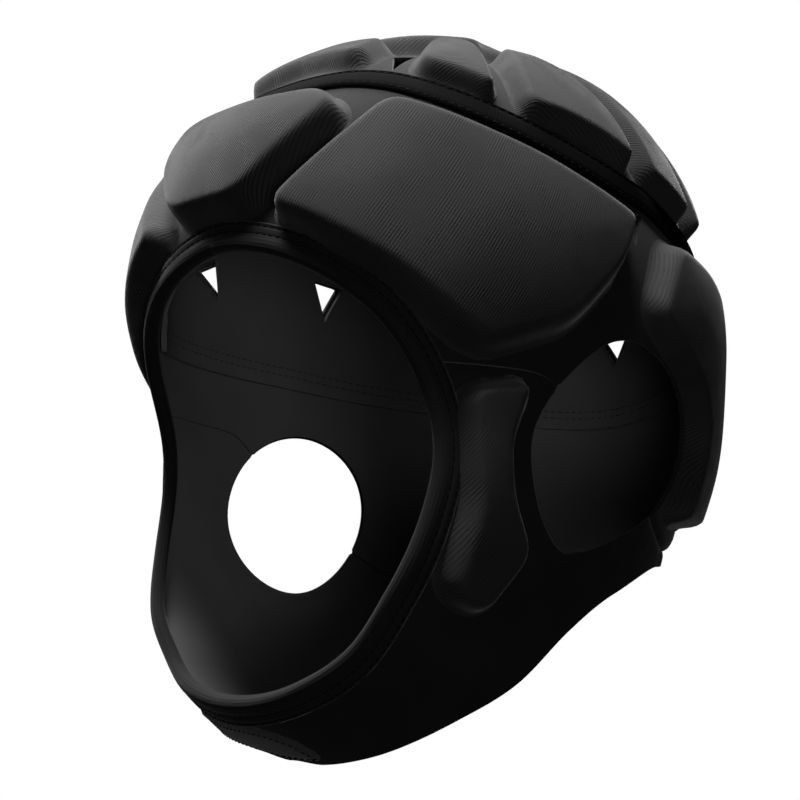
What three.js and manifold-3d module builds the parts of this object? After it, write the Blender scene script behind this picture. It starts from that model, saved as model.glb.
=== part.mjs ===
// Soft padded head guard: cloth panels over the head, raised foam pads, ear holes and a chin strap.
// Millimetres, +Z up. The face looks along -Y and the wearer's left is +X.
// The origin is the top of the head, where the lining rests on it.
import * as THREE from "three";
import Module from "manifold-3d";

const wasm = await Module();
wasm.setup();

// Cloth layers
const PANEL_WALL = 3; // knit cloth laid over a thin foam sheet
const LINING_WALL = 1.2;
const TAPE_WALL = 1;
const LAYER_GAP = 0.4; // between pieces that lie on each other
const INNER_GAP = 1.2; // the same on the hollow side of the panels
const SEAM_GAP = 0.4; // between panels that meet edge to edge
const BINDING_GAP = 0.9; // between the face rim and the binding folded over it
const CROWN_TAPE_WIDTH = 10;
const BINDING_OUTER_LEG = 6;
const BINDING_INNER_LEG = 2.5;
const LINING_SETBACK = 4.2; // from the face rim, so that the binding's inner leg lies beside it

// Foam pads
const PAD_SEAT = 1.1; // lift of a pad's underside off its panel
const PAD_HEIGHT = 9.5;
const REAR_PAD_HEIGHT = 8;
const CHEEK_PAD_HEIGHT = 8;
const CROWN_PAD_HEIGHT = 6.5;
const CROWN_TOP_HEIGHT = 8.5;
const PAD_WALL_RUN = 4; // how far a pad's wall spreads from the crest to the foot
const STEEP_WALL_RUN = 2; // on the crown and beside the ear hole
const PAD_CORNER = 5.5; // length of each edge that a rounded corner takes
const PAD_STEP = 18; // longest straight stretch along a pad's outline
const CORNER_SHARE = 0.4; // the most of an edge that one of its corners takes

// Head form: a dome above the widest level, whose drop is 0, and level sections below it
const CROWN_RISE = 97; // from the widest level to the outside of the crown
const CROWN_LEAN = 5; // how far the top of the dome leans to the front
const DOME_FULLNESS = 2.45; // 2 is an ellipse and more is squarer
const BACK_FULLNESS = 2.1;
const WIDEST_Z = PANEL_WALL + INNER_GAP + LINING_WALL - CROWN_RISE;
const WIDEST_LEVEL = 90;
const DROP_PER_LEVEL = 1.5; // a level is a degree on the dome and this drop below it
const FORM = [
  { drop: -50, side: 80, front: 99, back: 87, frontFullness: 2.4 },
  { drop: 0, side: 80, front: 99, back: 87, frontFullness: 2.7 },
  { drop: 32, side: 78.5, front: 98, back: 83, frontFullness: 2.65 },
  { drop: 67, side: 73, front: 96, back: 70, frontFullness: 3.7 },
  { drop: 85, side: 68.5, front: 94.5, back: 63, frontFullness: 4 },
  { drop: 102, side: 63, front: 92, back: 57, frontFullness: 3.2 },
  { drop: 112, side: 59, front: 89, back: 55, frontFullness: 2.75 },
  { drop: 120, side: 55, front: 83.5, back: 53, frontFullness: 2.4 },
  { drop: 127, side: 50, front: 77, back: 52, frontFullness: 2.2 },
  { drop: 135, side: 42, front: 66, back: 50, frontFullness: 2.2 },
  { drop: 141, side: 32, front: 54, back: 48, frontFullness: 2.2 },
  { drop: 147, side: 18, front: 40, back: 46, frontFullness: 2.2 },
];

// Lines on the form: azimuth 0 is the face and 90 the wearer's left, level 0 is the crown
const CROWN_SEAM = [
  { azimuth: 0, level: 42.5 },
  { azimuth: 15, level: 42.5 },
  { azimuth: 25, level: 42.8 },
  { azimuth: 35, level: 44.6 },
  { azimuth: 49, level: 49.2 },
  { azimuth: 61, level: 53.4 },
  { azimuth: 76, level: 58 },
  { azimuth: 95, level: 63.2 },
  { azimuth: 103, level: 65 },
  { azimuth: 115, level: 69 },
  { azimuth: 130, level: 73 },
  { azimuth: 145, level: 74.5 },
  { azimuth: 180, level: 74.5 },
];
const BAND_EDGE = [
  { azimuth: 0, level: 103 },
  { azimuth: 60, level: 103 },
  { azimuth: 70, level: 105 },
  { azimuth: 106, level: 129.5 },
  { azimuth: 114, level: 134 },
  { azimuth: 120, level: 135 },
  { azimuth: 130, level: 133.5 },
  { azimuth: 150, level: 131.5 },
  { azimuth: 180, level: 130.5 },
];
const NECK_EDGE = [
  { azimuth: 0, left: 180, right: 180 },
  { azimuth: 9, left: 181, right: 178 },
  { azimuth: 22, left: 180, right: 176 },
  { azimuth: 34, left: 177.5, right: 175 },
  { azimuth: 49, left: 172.5, right: 172 },
  { azimuth: 66, left: 165, right: 168 },
  { azimuth: 81, left: 154, right: 162.5 },
  { azimuth: 95, left: 146, right: 157.5 },
  { azimuth: 119, left: 138.5, right: 142 },
];
const LINING_HEM = [
  { azimuth: 0, level: 92 },
  { azimuth: 40, level: 90 },
  { azimuth: 70, level: 90.6 },
  { azimuth: 95, level: 91.6 },
  { azimuth: 130, level: 94.2 },
  { azimuth: 180, level: 100.2 },
];
const CHEEK_REAR_AZIMUTH = 119; // where the cheek panel ends behind the ear
const CHEEK_SPARE = 2; // levels of cheek cloth above the band's edge, cut off where the two meet

// Left half of the face opening, from the brow to the chin
const FACE_RIM = [
  { azimuth: 0, level: 77.4 },
  { azimuth: 13, level: 79.7 },
  { azimuth: 25, level: 85.1 },
  { azimuth: 34, level: 92.5 },
  { azimuth: 41.5, level: 105 },
  { azimuth: 45, level: 119 },
  { azimuth: 43, level: 133 },
  { azimuth: 37, level: 148 },
  { azimuth: 28, level: 160 },
  { azimuth: 15, level: 166.5 },
  { azimuth: 0, level: 168.5 },
];
// The left ear hole follows the pads round it; the right one is a smaller ellipse that leans
const LEFT_EAR_RIM = [
  { azimuth: 88, level: 94 },
  { azimuth: 98, level: 93.6 },
  { azimuth: 110, level: 98.8 },
  { azimuth: 117.5, level: 107.8 },
  { azimuth: 117.3, level: 117.8 },
  { azimuth: 109, level: 127.3 },
  { azimuth: 96, level: 134 },
  { azimuth: 82, level: 138.5 },
  { azimuth: 74.5, level: 138.8 },
  { azimuth: 68, level: 133 },
  { azimuth: 64.4, level: 122.5 },
  { azimuth: 64.8, level: 115 },
  { azimuth: 70, level: 106.5 },
  { azimuth: 79.5, level: 98.3 },
];
const RIGHT_EAR = { azimuth: -87, level: 121, wide: 22.4, tall: 19.3, lean: 2.6, dip: 1.6 };
const FACE_STATIONS = 44;
const EAR_STATIONS = 28;

// Crests of the pads on the band and the cheeks, as corners of azimuth and level
const FOREHEAD_PAD = [[-9.5, 70.3], [9.5, 70.3], [25.4, 55.2], [22, 50.8], [-22, 50.8], [-25.4, 55.2]];
const TEMPLE_PAD = [
  [35.8, 53.4], [91.8, 71.2], [86, 79.5], [70, 92.5], [52.5, 99], [38.4, 85.8], [25, 77], [16, 72.8],
];
const REAR_PAD = [
  [107, 74], [146, 80.5], [146, 126], [113, 128.5], [119, 119], [120, 109], [114.5, 100], [105, 93.5],
  [97.5, 88], [102, 80],
];
const BACK_PAD = [[154, 80.8], [170, 81], [176, 89], [176, 125.5], [154, 126]];
const CHEEK_PAD = [
  [50, 108.6], [62.3, 105.8], [57.6, 118.6], [57.8, 128.7], [62, 139.2], [52.3, 150.6], [46, 147.6],
  [50.5, 130.6],
];
// Crests of the pads on the crown
const CROWN_FRONT_PAD = [[-24, 37.8], [24, 37.8], [26, 25], [-26, 25]];
const CROWN_FORE_PAD = [[41, 42], [59.5, 48.6], [62, 25], [47, 24]];
const CROWN_SIDE_PAD = [[68, 51.5], [99.5, 59.4], [99, 26], [76, 27]];
const CROWN_HIND_PAD = [[104.5, 61.1], [121, 66.3], [126, 27], [113.5, 25.5]];
const CROWN_BACK_PAD = [[127, 67.9], [174, 70.1], [166, 26], [140, 27]];
const CROWN_TOP_PAD = [[0, 18], [72, 19], [144, 19.5], [216, 19.5], [288, 19]];
// Ring by ring, a pad's wall and shoulder: outside the crest as a share of the wall's run, and the rise
const PAD_PROFILE = [
  { out: 1, rise: 0 },
  { out: 0.55, rise: 0.5 },
  { out: 0.1, rise: 0.88 },
  { out: -0.6, rise: 1 },
];
const PAD_TOP_SHARES = [0.5]; // rings inside the shoulder, as shares of its outline
const PAD_SEAT_SHARES = [0.35, 0.7]; // rings of the underside, as shares of the foot's outline

// Vents between the pads, as corners of azimuth and level
const CROWN_VENT = [[34, 40], [31, 30], [39, 30]];
const SIDE_VENT = [[96.2, 75], [91.2, 66.4], [101.6, 67.4]];
const BACK_VENT = [[180, 85.8], [175, 79.2], [185, 79.2]];
const TEMPLE_VENT = [[-58.2, 74.3], [-45.4, 70.5], [-53.8, 67.4]]; // on the inside of the lining
const TEMPLE_VENT_WAY = { azimuth: -132, rise: 10 }; // it runs out through the pad on a slant to the back

// Chin tab: it laps over the strap ends, from the wearer's right to a rounded tip on the left
const CHIN_TAB = [
  { azimuth: -32, top: 167.5, bottom: 172.5 },
  { azimuth: -12, top: 171.5, bottom: 176 },
  { azimuth: 0, top: 173.5, bottom: 178.5 },
  { azimuth: 8, top: 176, bottom: 179.5 },
  { azimuth: 11, top: 178, bottom: 179.5 },
];
const CHIN_TAB_WALL = 1.6;
const CHIN_TAB_GAP = 0.6; // between the tab and the strap
const CHIN_TAB_COLUMNS = 10;
const CHIN_TAB_ROWS = 4;

// Grid counts of the panels
const ROUND_STEPS = 38;
const CROWN_ROWS = 5;
const BAND_ROWS = 5;
const CHEEK_ROWS = 7;
const CHEEK_CROWDING = 1.7; // above 1, the cheek's rows crowd towards the chin, where it turns under
const CHEEK_COLUMNS = 18;
const LINING_STEPS = 32;
const LINING_ROWS = 4;

const CLOTH = { color: 0x1a1a1b, roughness: 0.85, metalness: 0 };
const PAD_CLOTH = { color: 0x222223, roughness: 0.8, metalness: 0 };
const TAPE = { color: 0x141415, roughness: 0.75, metalness: 0 };
const LINING_CLOTH = { color: 0x707070, roughness: 0.95, metalness: 0 };
const GRIP = { color: 0x2b2b2c, roughness: 0.95, metalness: 0 };

const radians = THREE.MathUtils.degToRad;
const clamp = THREE.MathUtils.clamp;

// A smooth value between the rows of a table, level at both ends
function between(rows, key, column, value) {
  const last = rows.length - 1;
  const slopeAt = (i) => {
    if (i === 0 || i === last) return 0;
    return (rows[i + 1][column] - rows[i - 1][column]) / (rows[i + 1][key] - rows[i - 1][key]);
  };
  const x = clamp(value, rows[0][key], rows[last][key]);
  let row = 0;
  while (row < last - 1 && x > rows[row + 1][key]) row += 1;
  const span = rows[row + 1][key] - rows[row][key];
  const t = (x - rows[row][key]) / span;
  const from = rows[row][column];
  const to = rows[row + 1][column];
  const rise = t * t * (3 - 2 * t);
  const bendFrom = t * (1 - t) * (1 - t) * span * slopeAt(row);
  const bendTo = t * t * (1 - t) * span * slopeAt(row + 1);
  return from + (to - from) * rise + bendFrom - bendTo;
}

// The level of a line of the form, which is the same on the left and the right
function lineLevel(line, azimuth) {
  const turned = Math.abs(((azimuth + 540) % 360) - 180);
  return between(line, "azimuth", "level", turned);
}

// A point on the outside of the panels
function formPoint(azimuth, level) {
  const turn = radians(azimuth);
  const tilt = radians(Math.min(level, WIDEST_LEVEL));
  const sine = Math.sin(tilt);
  const cosine = Math.max(0, Math.cos(tilt));
  const swell = (sine ** DOME_FULLNESS + cosine ** DOME_FULLNESS) ** (-1 / DOME_FULLNESS);
  const height = swell * cosine;
  const drop = Math.max(0, level - WIDEST_LEVEL) * DROP_PER_LEVEL - CROWN_RISE * height;
  const ahead = Math.cos(turn);
  const side = between(FORM, "drop", "side", drop);
  const reach = between(FORM, "drop", ahead >= 0 ? "front" : "back", drop);
  const fullness = ahead >= 0 ? between(FORM, "drop", "frontFullness", drop) : BACK_FULLNESS;
  const section = Math.abs(Math.sin(turn) / side) ** fullness + Math.abs(ahead / reach) ** fullness;
  const radius = (swell * sine) / section ** (1 / fullness);
  return new THREE.Vector3(
    radius * Math.sin(turn),
    -radius * ahead - CROWN_LEAN * height * height,
    WIDEST_Z - drop,
  );
}

// The two directions along the form at a place, for one degree of azimuth and for one level
function formSteps(azimuth, level) {
  const step = 0.1;
  const low = Math.max(level, 1);
  const round = formPoint(azimuth + step, low).sub(formPoint(azimuth - step, low));
  const down = formPoint(azimuth, low + step).sub(formPoint(azimuth, low - step));
  return { round: round.divideScalar(2 * step), down: down.divideScalar(2 * step) };
}

// A point lifted off the outside of the panels, or sunk below it
function lifted(azimuth, level, lift) {
  if (level === 0) return formPoint(azimuth, level).add(new THREE.Vector3(0, 0, lift));
  const { round, down } = formSteps(azimuth, level);
  return formPoint(azimuth, level).addScaledVector(down.cross(round).normalize(), lift);
}

// A closed solid from points and triangles, turned so that its faces look out
function solid(points, faces) {
  let volume = 0;
  for (const [a, b, c] of faces) volume += points[a].dot(points[b].clone().cross(points[c]));
  const turned = volume < 0 ? faces.map(([a, b, c]) => [a, c, b]) : faces;
  const mesh = new wasm.Mesh({
    numProp: 3,
    vertProperties: new Float32Array(points.flatMap((point) => point.toArray())),
    triVerts: new Uint32Array(turned.flat()),
  });
  return new wasm.Manifold(mesh);
}

// Joins rings of points in turn. The ends close on a middle point each, or else on each other.
function loft(rings, firstMiddle, lastMiddle) {
  const count = rings[0].length;
  const points = rings.flat();
  const faces = [];
  const joins = firstMiddle ? rings.length - 1 : rings.length;
  for (let ring = 0; ring < joins; ring += 1) {
    const here = ring * count;
    const there = ((ring + 1) % rings.length) * count;
    for (let i = 0; i < count; i += 1) {
      const next = (i + 1) % count;
      faces.push([here + i, here + next, there + next]);
      faces.push([here + i, there + next, there + i]);
    }
  }
  if (firstMiddle) {
    const lastRing = (rings.length - 1) * count;
    const first = points.push(firstMiddle) - 1;
    const last = points.push(lastMiddle) - 1;
    for (let i = 0; i < count; i += 1) {
      const next = (i + 1) % count;
      faces.push([next, i, first]);
      faces.push([lastRing + i, lastRing + next, last]);
    }
  }
  return solid(points, faces);
}

// Azimuths all round, and one ring of lifted points on a line of the form
const allRound = (steps) => Array.from({ length: steps }, (_, i) => (360 * i) / steps);
const ringOn = (azimuths, levelAt, lift) => azimuths.map((a) => lifted(a, levelAt(a), lift));

// Shares from 0 to 1 in even steps
const evenShares = (steps) => Array.from({ length: steps + 1 }, (_, i) => i / steps);

// A cap from the crown down to a line, as thick as the two lifts are apart
function cap(lineAt, outer, inner, steps, rows) {
  const azimuths = allRound(steps);
  const shares = evenShares(rows).slice(1);
  const down = shares.map((s) => ringOn(azimuths, (a) => lineAt(a) * s, outer));
  const up = shares.toReversed().map((s) => ringOn(azimuths, (a) => lineAt(a) * s, inner));
  return loft([...down, ...up], lifted(0, 0, outer), lifted(0, 0, inner));
}

// A ring all round between two lines
function band(topAt, bottomAt, outer, inner, rows) {
  const azimuths = allRound(ROUND_STEPS);
  const shares = evenShares(rows);
  const levelAt = (s) => (a) => topAt(a) + (bottomAt(a) - topAt(a)) * s;
  const down = shares.map((s) => ringOn(azimuths, levelAt(s), outer));
  const up = shares.toReversed().map((s) => ringOn(azimuths, levelAt(s), inner));
  return loft([...down, ...up]);
}

// A wall over a stretch of azimuths between two lines, closed at both ends
function wall(azimuths, topAt, bottomAt, outer, inner, shares) {
  const columns = azimuths.length;
  const rows = shares.length - 1;
  const points = [];
  for (const lift of [outer, inner])
    for (const share of shares)
      for (const a of azimuths) points.push(lifted(a, topAt(a) + (bottomAt(a) - topAt(a)) * share, lift));
  const faces = [];
  const quad = (a, b, c, d) => faces.push([a, b, c], [a, c, d]);
  const at = (layer, row, column) => (layer * (rows + 1) + row) * columns + column;
  for (let row = 0; row < rows; row += 1)
    for (let c = 0; c < columns - 1; c += 1) {
      quad(at(0, row, c), at(0, row, c + 1), at(0, row + 1, c + 1), at(0, row + 1, c));
      quad(at(1, row, c), at(1, row + 1, c), at(1, row + 1, c + 1), at(1, row, c + 1));
    }
  for (let c = 0; c < columns - 1; c += 1) {
    quad(at(0, 0, c + 1), at(0, 0, c), at(1, 0, c), at(1, 0, c + 1));
    quad(at(0, rows, c), at(0, rows, c + 1), at(1, rows, c + 1), at(1, rows, c));
  }
  for (let row = 0; row < rows; row += 1) {
    const end = columns - 1;
    quad(at(0, row, 0), at(0, row + 1, 0), at(1, row + 1, 0), at(1, row, 0));
    quad(at(0, row + 1, end), at(0, row, end), at(1, row, end), at(1, row + 1, end));
  }
  return solid(points, faces);
}

// A smooth closed outline through the rows of a table, evenly spaced
function smoothOutline(rows, stations) {
  const points = rows.map((row) => new THREE.Vector3(row.azimuth, row.level, 0));
  const curve = new THREE.CatmullRomCurve3(points, true, "centripetal");
  return curve.getSpacedPoints(stations).slice(0, stations).map((p) => [p.x, p.y]);
}

// Both halves of an outline that is the same left and right
function mirroredRows(half) {
  const others = half.slice(1, -1).toReversed();
  return [...half, ...others.map(({ azimuth, level }) => ({ azimuth: -azimuth, level }))];
}

const faceOutline = smoothOutline(mirroredRows(FACE_RIM), FACE_STATIONS);

// An ellipse of azimuth and level whose upright axis leans and whose level axis dips
function ellipseOutline({ azimuth, level, wide, tall, lean, dip }, stations) {
  return evenShares(stations).slice(1).map((share) => {
    const across = Math.cos(2 * Math.PI * share);
    const along = Math.sin(2 * Math.PI * share);
    return [azimuth - wide * across + lean * along, level - dip * across + tall * along];
  });
}

const earOutlines = [smoothOutline(LEFT_EAR_RIM, EAR_STATIONS), ellipseOutline(RIGHT_EAR, EAR_STATIONS)];

// A place on an outline moved across the form by a distance, to the outside of the outline
function movedAcross(outline, index, distance) {
  const count = outline.length;
  const [azimuth, level] = outline[index];
  const before = outline[(index + count - 1) % count];
  const after = outline[(index + 1) % count];
  const { round, down } = formSteps(azimuth, level);
  const turn = after[0] - before[0];
  const fall = after[1] - before[1];
  const along = round.clone().multiplyScalar(turn).addScaledVector(down, fall);
  const normal = down.clone().cross(round).normalize();
  const across = normal.cross(along).normalize();
  const wide = across.dot(round) / round.lengthSq();
  const deep = across.dot(down) / down.lengthSq();
  const twist = round.dot(down) / Math.sqrt(round.lengthSq() * down.lengthSq());
  const share = distance / (1 - twist * twist);
  const widePart = wide - (deep * round.dot(down)) / round.lengthSq();
  const deepPart = deep - (wide * round.dot(down)) / down.lengthSq();
  return [azimuth + widePart * share, level + deepPart * share];
}

// A plug that cuts an outline through the walls, square to the form, and tapers to an eye inside
const PLUG_INWARD = 0.4; // share of the way to the eye
const PLUG_OUTWARD = -0.5; // the same, away from it
const middleOf = (ring) => ring.reduce((sum, p) => sum.add(p), new THREE.Vector3()).divideScalar(ring.length);
function plug(outline, eyeOf, depth, height) {
  const surface = outline.map(([a, level]) => lifted(a, level, 0));
  const toEye = surface.map((point) => point.clone().lerp(eyeOf(point), PLUG_INWARD));
  const below = outline.map(([a, level]) => lifted(a, level, -depth));
  const above = outline.map(([a, level]) => lifted(a, level, height));
  const beyond = surface.map((point) => point.clone().lerp(eyeOf(point), PLUG_OUTWARD));
  return loft([toEye, below, above, beyond], middleOf(toEye), middleOf(beyond));
}

// A plug that runs one way through the lining, the panel and the pad, from an outline inside
const SLANT_START = -6;
const SLANT_END = 46;
function slantPlug(outline, { azimuth, rise }) {
  const flat = Math.cos(radians(rise));
  const turn = radians(azimuth);
  const way = new THREE.Vector3(Math.sin(turn) * flat, -Math.cos(turn) * flat, Math.sin(radians(rise)));
  const inside = outline.map(([a, level]) => lifted(a, level, -PANEL_WALL - INNER_GAP - LINING_WALL));
  const [start, end] = [SLANT_START, SLANT_END].map((reach) =>
    inside.map((point) => point.clone().addScaledVector(way, reach)),
  );
  return loft([start, end], middleOf(start), middleOf(end));
}

const HEAD_MIDDLE_DROP = 45;
const HEAD_MIDDLE = new THREE.Vector3(0, 0, WIDEST_Z - HEAD_MIDDLE_DROP);
const fromMiddle = () => HEAD_MIDDLE;
const fromAxle = (point) => new THREE.Vector3(0, point.y, point.z);
const mirrored = (outline) => outline.map(([azimuth, level]) => [-azimuth, level]);

// Flat plans in which a pad's outline is rounded and spread: the band unrolled, and the crown from above
const MM_PER_AZIMUTH = 1.42;
const MM_PER_CROWN_LEVEL = 1.65;
const BAND_PLAN = {
  to: ([azimuth, level]) => new THREE.Vector2(azimuth * MM_PER_AZIMUTH, level * DROP_PER_LEVEL),
  from: (p) => [p.x / MM_PER_AZIMUTH, p.y / DROP_PER_LEVEL],
};
const CROWN_PLAN = {
  to: ([azimuth, level]) => {
    const radius = level * MM_PER_CROWN_LEVEL;
    return new THREE.Vector2(radius * Math.sin(radians(azimuth)), radius * Math.cos(radians(azimuth)));
  },
  from: (p) => [THREE.MathUtils.radToDeg(Math.atan2(p.x, p.y)), p.length() / MM_PER_CROWN_LEVEL],
};

// An outline through corners, each rounded over part of its edges, with the long edges divided
function roundedOutline(corners) {
  const outline = [];
  corners.forEach((corner, i) => {
    const before = corners[(i + corners.length - 1) % corners.length];
    const after = corners[(i + 1) % corners.length];
    const take = (to) => Math.min(PAD_CORNER, corner.distanceTo(to) * CORNER_SHARE);
    const enter = corner.clone().lerp(before, take(before) / corner.distanceTo(before));
    const leave = corner.clone().lerp(after, take(after) / corner.distanceTo(after));
    const turn = new THREE.QuadraticBezierCurve(enter, corner, leave).getPoint(0.5);
    outline.push(enter, turn, leave);
    const onward = after.clone().lerp(corner, take(after) / corner.distanceTo(after));
    const parts = Math.round(leave.distanceTo(onward) / PAD_STEP);
    for (let part = 1; part < parts; part += 1) outline.push(leave.clone().lerp(onward, part / parts));
  });
  return outline;
}

// An outline spread outwards by a distance
function spread(outline, distance) {
  const area = THREE.ShapeUtils.area(outline);
  return outline.map((point, i) => {
    const before = outline[(i + outline.length - 1) % outline.length];
    const after = outline[(i + 1) % outline.length];
    const along = after.clone().sub(before).normalize();
    const out = new THREE.Vector2(along.y, -along.x).multiplyScalar(Math.sign(area));
    return point.clone().addScaledVector(out, distance);
  });
}

// A foam pad: a flat underside on the panel, sloped walls with a rounded shoulder, and a level top
function pad(corners, plan, height, run) {
  const crest = roundedOutline(corners.map(plan.to));
  const middle = crest.reduce((sum, p) => sum.add(p), new THREE.Vector2()).divideScalar(crest.length);
  const place = (p, lift) => lifted(...plan.from(p), lift);
  const ring = (outline, lift) => outline.map((p) => place(p, lift));
  const shrunk = (outline, share) => outline.map((p) => middle.clone().lerp(p, share));
  const foot = spread(crest, run);
  const shoulder = spread(crest, PAD_PROFILE.at(-1).out * run);
  const seat = PAD_SEAT_SHARES.map((share) => ring(shrunk(foot, share), PAD_SEAT));
  const sides = PAD_PROFILE.map(({ out, rise }) =>
    ring(spread(crest, out * run), PAD_SEAT + rise * (height - PAD_SEAT)),
  );
  const top = PAD_TOP_SHARES.toReversed().map((share) => ring(shrunk(shoulder, share), height));
  return loft([...seat, ...sides, ...top], place(middle, PAD_SEAT), place(middle, height));
}

// Panels
const seamAt = (a) => lineLevel(CROWN_SEAM, a);
const seamSide = (distance) => (a) => seamAt(a) + distance / formSteps(a, seamAt(a)).down.length();
const bandEdgeAt = (a) => lineLevel(BAND_EDGE, a);
const aboveBandEdge = (a) => bandEdgeAt(a) - CHEEK_SPARE;
const belowBandEdge = (a) => bandEdgeAt(a) + SEAM_GAP / DROP_PER_LEVEL;
const neckAt = (a) => between(NECK_EDGE, "azimuth", a < 0 ? "right" : "left", Math.abs(a));
const hemAt = (a) => lineLevel(LINING_HEM, a);

const CUT_DEPTH = 8;
const CUT_HEIGHT = 20;
const facePlug = plug(faceOutline, fromMiddle, CUT_DEPTH, CUT_HEIGHT);
const widerFace = faceOutline.map((_, i) => movedAcross(faceOutline, i, LINING_SETBACK));
const liningFacePlug = plug(widerFace, fromMiddle, CUT_DEPTH, CUT_HEIGHT);
const earPlugs = earOutlines.map((o) => plug(o, fromAxle, CUT_DEPTH, CUT_HEIGHT));
const ventPlug = (corners) => plug(corners, fromMiddle, CUT_DEPTH, CUT_HEIGHT);
const crownVents = [CROWN_VENT, mirrored(CROWN_VENT)].map(ventPlug);
const templeVent = slantPlug(TEMPLE_VENT, TEMPLE_VENT_WAY);
const bandVents = [SIDE_VENT, mirrored(SIDE_VENT), BACK_VENT].map(ventPlug);
bandVents.push(templeVent);

const without = (body, cuts) => cuts.reduce((left, cut) => left.subtract(cut), body);

function crownPanel() {
  const edge = seamSide(-SEAM_GAP / 2);
  return without(cap(edge, 0, -PANEL_WALL, ROUND_STEPS, CROWN_ROWS), crownVents);
}

function bandPanel() {
  const body = band(seamSide(SEAM_GAP / 2), bandEdgeAt, 0, -PANEL_WALL, BAND_ROWS);
  return without(body, [facePlug, ...earPlugs, ...bandVents]);
}

function cheekPanel(side) {
  const first = SEAM_GAP / 2;
  const azimuths = evenShares(CHEEK_COLUMNS).map((s) => side * (first + (CHEEK_REAR_AZIMUTH - first) * s));
  const shares = evenShares(CHEEK_ROWS).map((s) => 1 - (1 - s) ** CHEEK_CROWDING);
  const body = wall(azimuths, aboveBandEdge, neckAt, 0, -PANEL_WALL, shares);
  const bandRoom = band(seamAt, belowBandEdge, PANEL_WALL, -2 * PANEL_WALL, BAND_ROWS);
  return without(body, [bandRoom, facePlug, ...earPlugs]);
}

function lining() {
  const outer = -PANEL_WALL - INNER_GAP;
  const body = cap(hemAt, outer, outer - LINING_WALL, LINING_STEPS, LINING_ROWS);
  return without(body, [liningFacePlug, ...crownVents, ...bandVents]);
}

function crownTape() {
  const half = CROWN_TAPE_WIDTH / 2;
  return band(seamSide(-half), seamSide(half), LAYER_GAP + TAPE_WALL, LAYER_GAP, 2);
}

// The binding is folded over the rim: a leg outside, the fold, and a leg inside
function faceBinding() {
  const near = BINDING_GAP;
  const far = BINDING_GAP + TAPE_WALL;
  const under = -PANEL_WALL - INNER_GAP;
  const section = [
    { inset: BINDING_OUTER_LEG, lift: far },
    { inset: -far, lift: far },
    { inset: -far, lift: under - TAPE_WALL },
    { inset: BINDING_INNER_LEG, lift: under - TAPE_WALL },
    { inset: BINDING_INNER_LEG, lift: under },
    { inset: -near, lift: under },
    { inset: -near, lift: near },
    { inset: BINDING_OUTER_LEG, lift: near },
  ];
  const rings = section.map(({ inset, lift }) =>
    faceOutline.map((_, i) => lifted(...movedAcross(faceOutline, i, inset), lift)),
  );
  return loft(rings);
}

function chinTab() {
  const first = CHIN_TAB[0].azimuth;
  const last = CHIN_TAB.at(-1).azimuth;
  const azimuths = evenShares(CHIN_TAB_COLUMNS).map((s) => first + (last - first) * s);
  const edgeAt = (column) => (a) => between(CHIN_TAB, "azimuth", column, a);
  const outer = CHIN_TAB_GAP + CHIN_TAB_WALL;
  return wall(azimuths, edgeAt("top"), edgeAt("bottom"), outer, CHIN_TAB_GAP, evenShares(CHIN_TAB_ROWS));
}

// Each solid becomes a named mesh of its own
const headgear = new THREE.Group();
headgear.name = "padded_headgear";

function addPiece(name, body, finish) {
  const { vertProperties, triVerts } = body.getMesh();
  const geometry = new THREE.BufferGeometry();
  geometry.setAttribute("position", new THREE.BufferAttribute(vertProperties, 3));
  geometry.setIndex(new THREE.BufferAttribute(triVerts, 1));
  geometry.computeVertexNormals();
  const mesh = new THREE.Mesh(geometry, new THREE.MeshStandardMaterial(finish));
  mesh.name = name;
  headgear.add(mesh);
}

const SIDES = [
  { word: "left", turn: (corners) => corners, sign: 1, vents: [] },
  { word: "right", turn: mirrored, sign: -1, vents: [templeVent] },
];

addPiece("crown_panel", crownPanel(), CLOTH);
addPiece("band_panel", bandPanel(), CLOTH);
addPiece("lining", lining(), LINING_CLOTH);
addPiece("crown_tape", crownTape(), TAPE);
addPiece("face_binding", faceBinding(), TAPE);
addPiece("chin_tab", chinTab(), GRIP);
addPiece("forehead_pad", pad(FOREHEAD_PAD, BAND_PLAN, PAD_HEIGHT, PAD_WALL_RUN), PAD_CLOTH);
addPiece("crown_pad_front", pad(CROWN_FRONT_PAD, CROWN_PLAN, CROWN_PAD_HEIGHT, STEEP_WALL_RUN), PAD_CLOTH);
addPiece("crown_pad_top", pad(CROWN_TOP_PAD, CROWN_PLAN, CROWN_TOP_HEIGHT, STEEP_WALL_RUN), PAD_CLOTH);

for (const { word, turn, sign, vents } of SIDES) {
  addPiece(`cheek_panel_${word}`, cheekPanel(sign), CLOTH);
  const temple = pad(turn(TEMPLE_PAD), BAND_PLAN, PAD_HEIGHT, PAD_WALL_RUN);
  addPiece(`temple_pad_${word}`, without(temple, vents), PAD_CLOTH);
  addPiece(`rear_pad_${word}`, pad(turn(REAR_PAD), BAND_PLAN, REAR_PAD_HEIGHT, STEEP_WALL_RUN), PAD_CLOTH);
  addPiece(`back_pad_${word}`, pad(turn(BACK_PAD), BAND_PLAN, REAR_PAD_HEIGHT, STEEP_WALL_RUN), PAD_CLOTH);
  addPiece(`cheek_pad_${word}`, pad(turn(CHEEK_PAD), BAND_PLAN, CHEEK_PAD_HEIGHT, STEEP_WALL_RUN), PAD_CLOTH);
  const crownPads = [
    ["fore", CROWN_FORE_PAD],
    ["side", CROWN_SIDE_PAD],
    ["hind", CROWN_HIND_PAD],
    ["back", CROWN_BACK_PAD],
  ];
  for (const [place, corners] of crownPads) {
    const body = pad(turn(corners), CROWN_PLAN, CROWN_PAD_HEIGHT, STEEP_WALL_RUN);
    addPiece(`crown_pad_${place}_${word}`, body, PAD_CLOTH);
  }
}

export default headgear;
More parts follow.
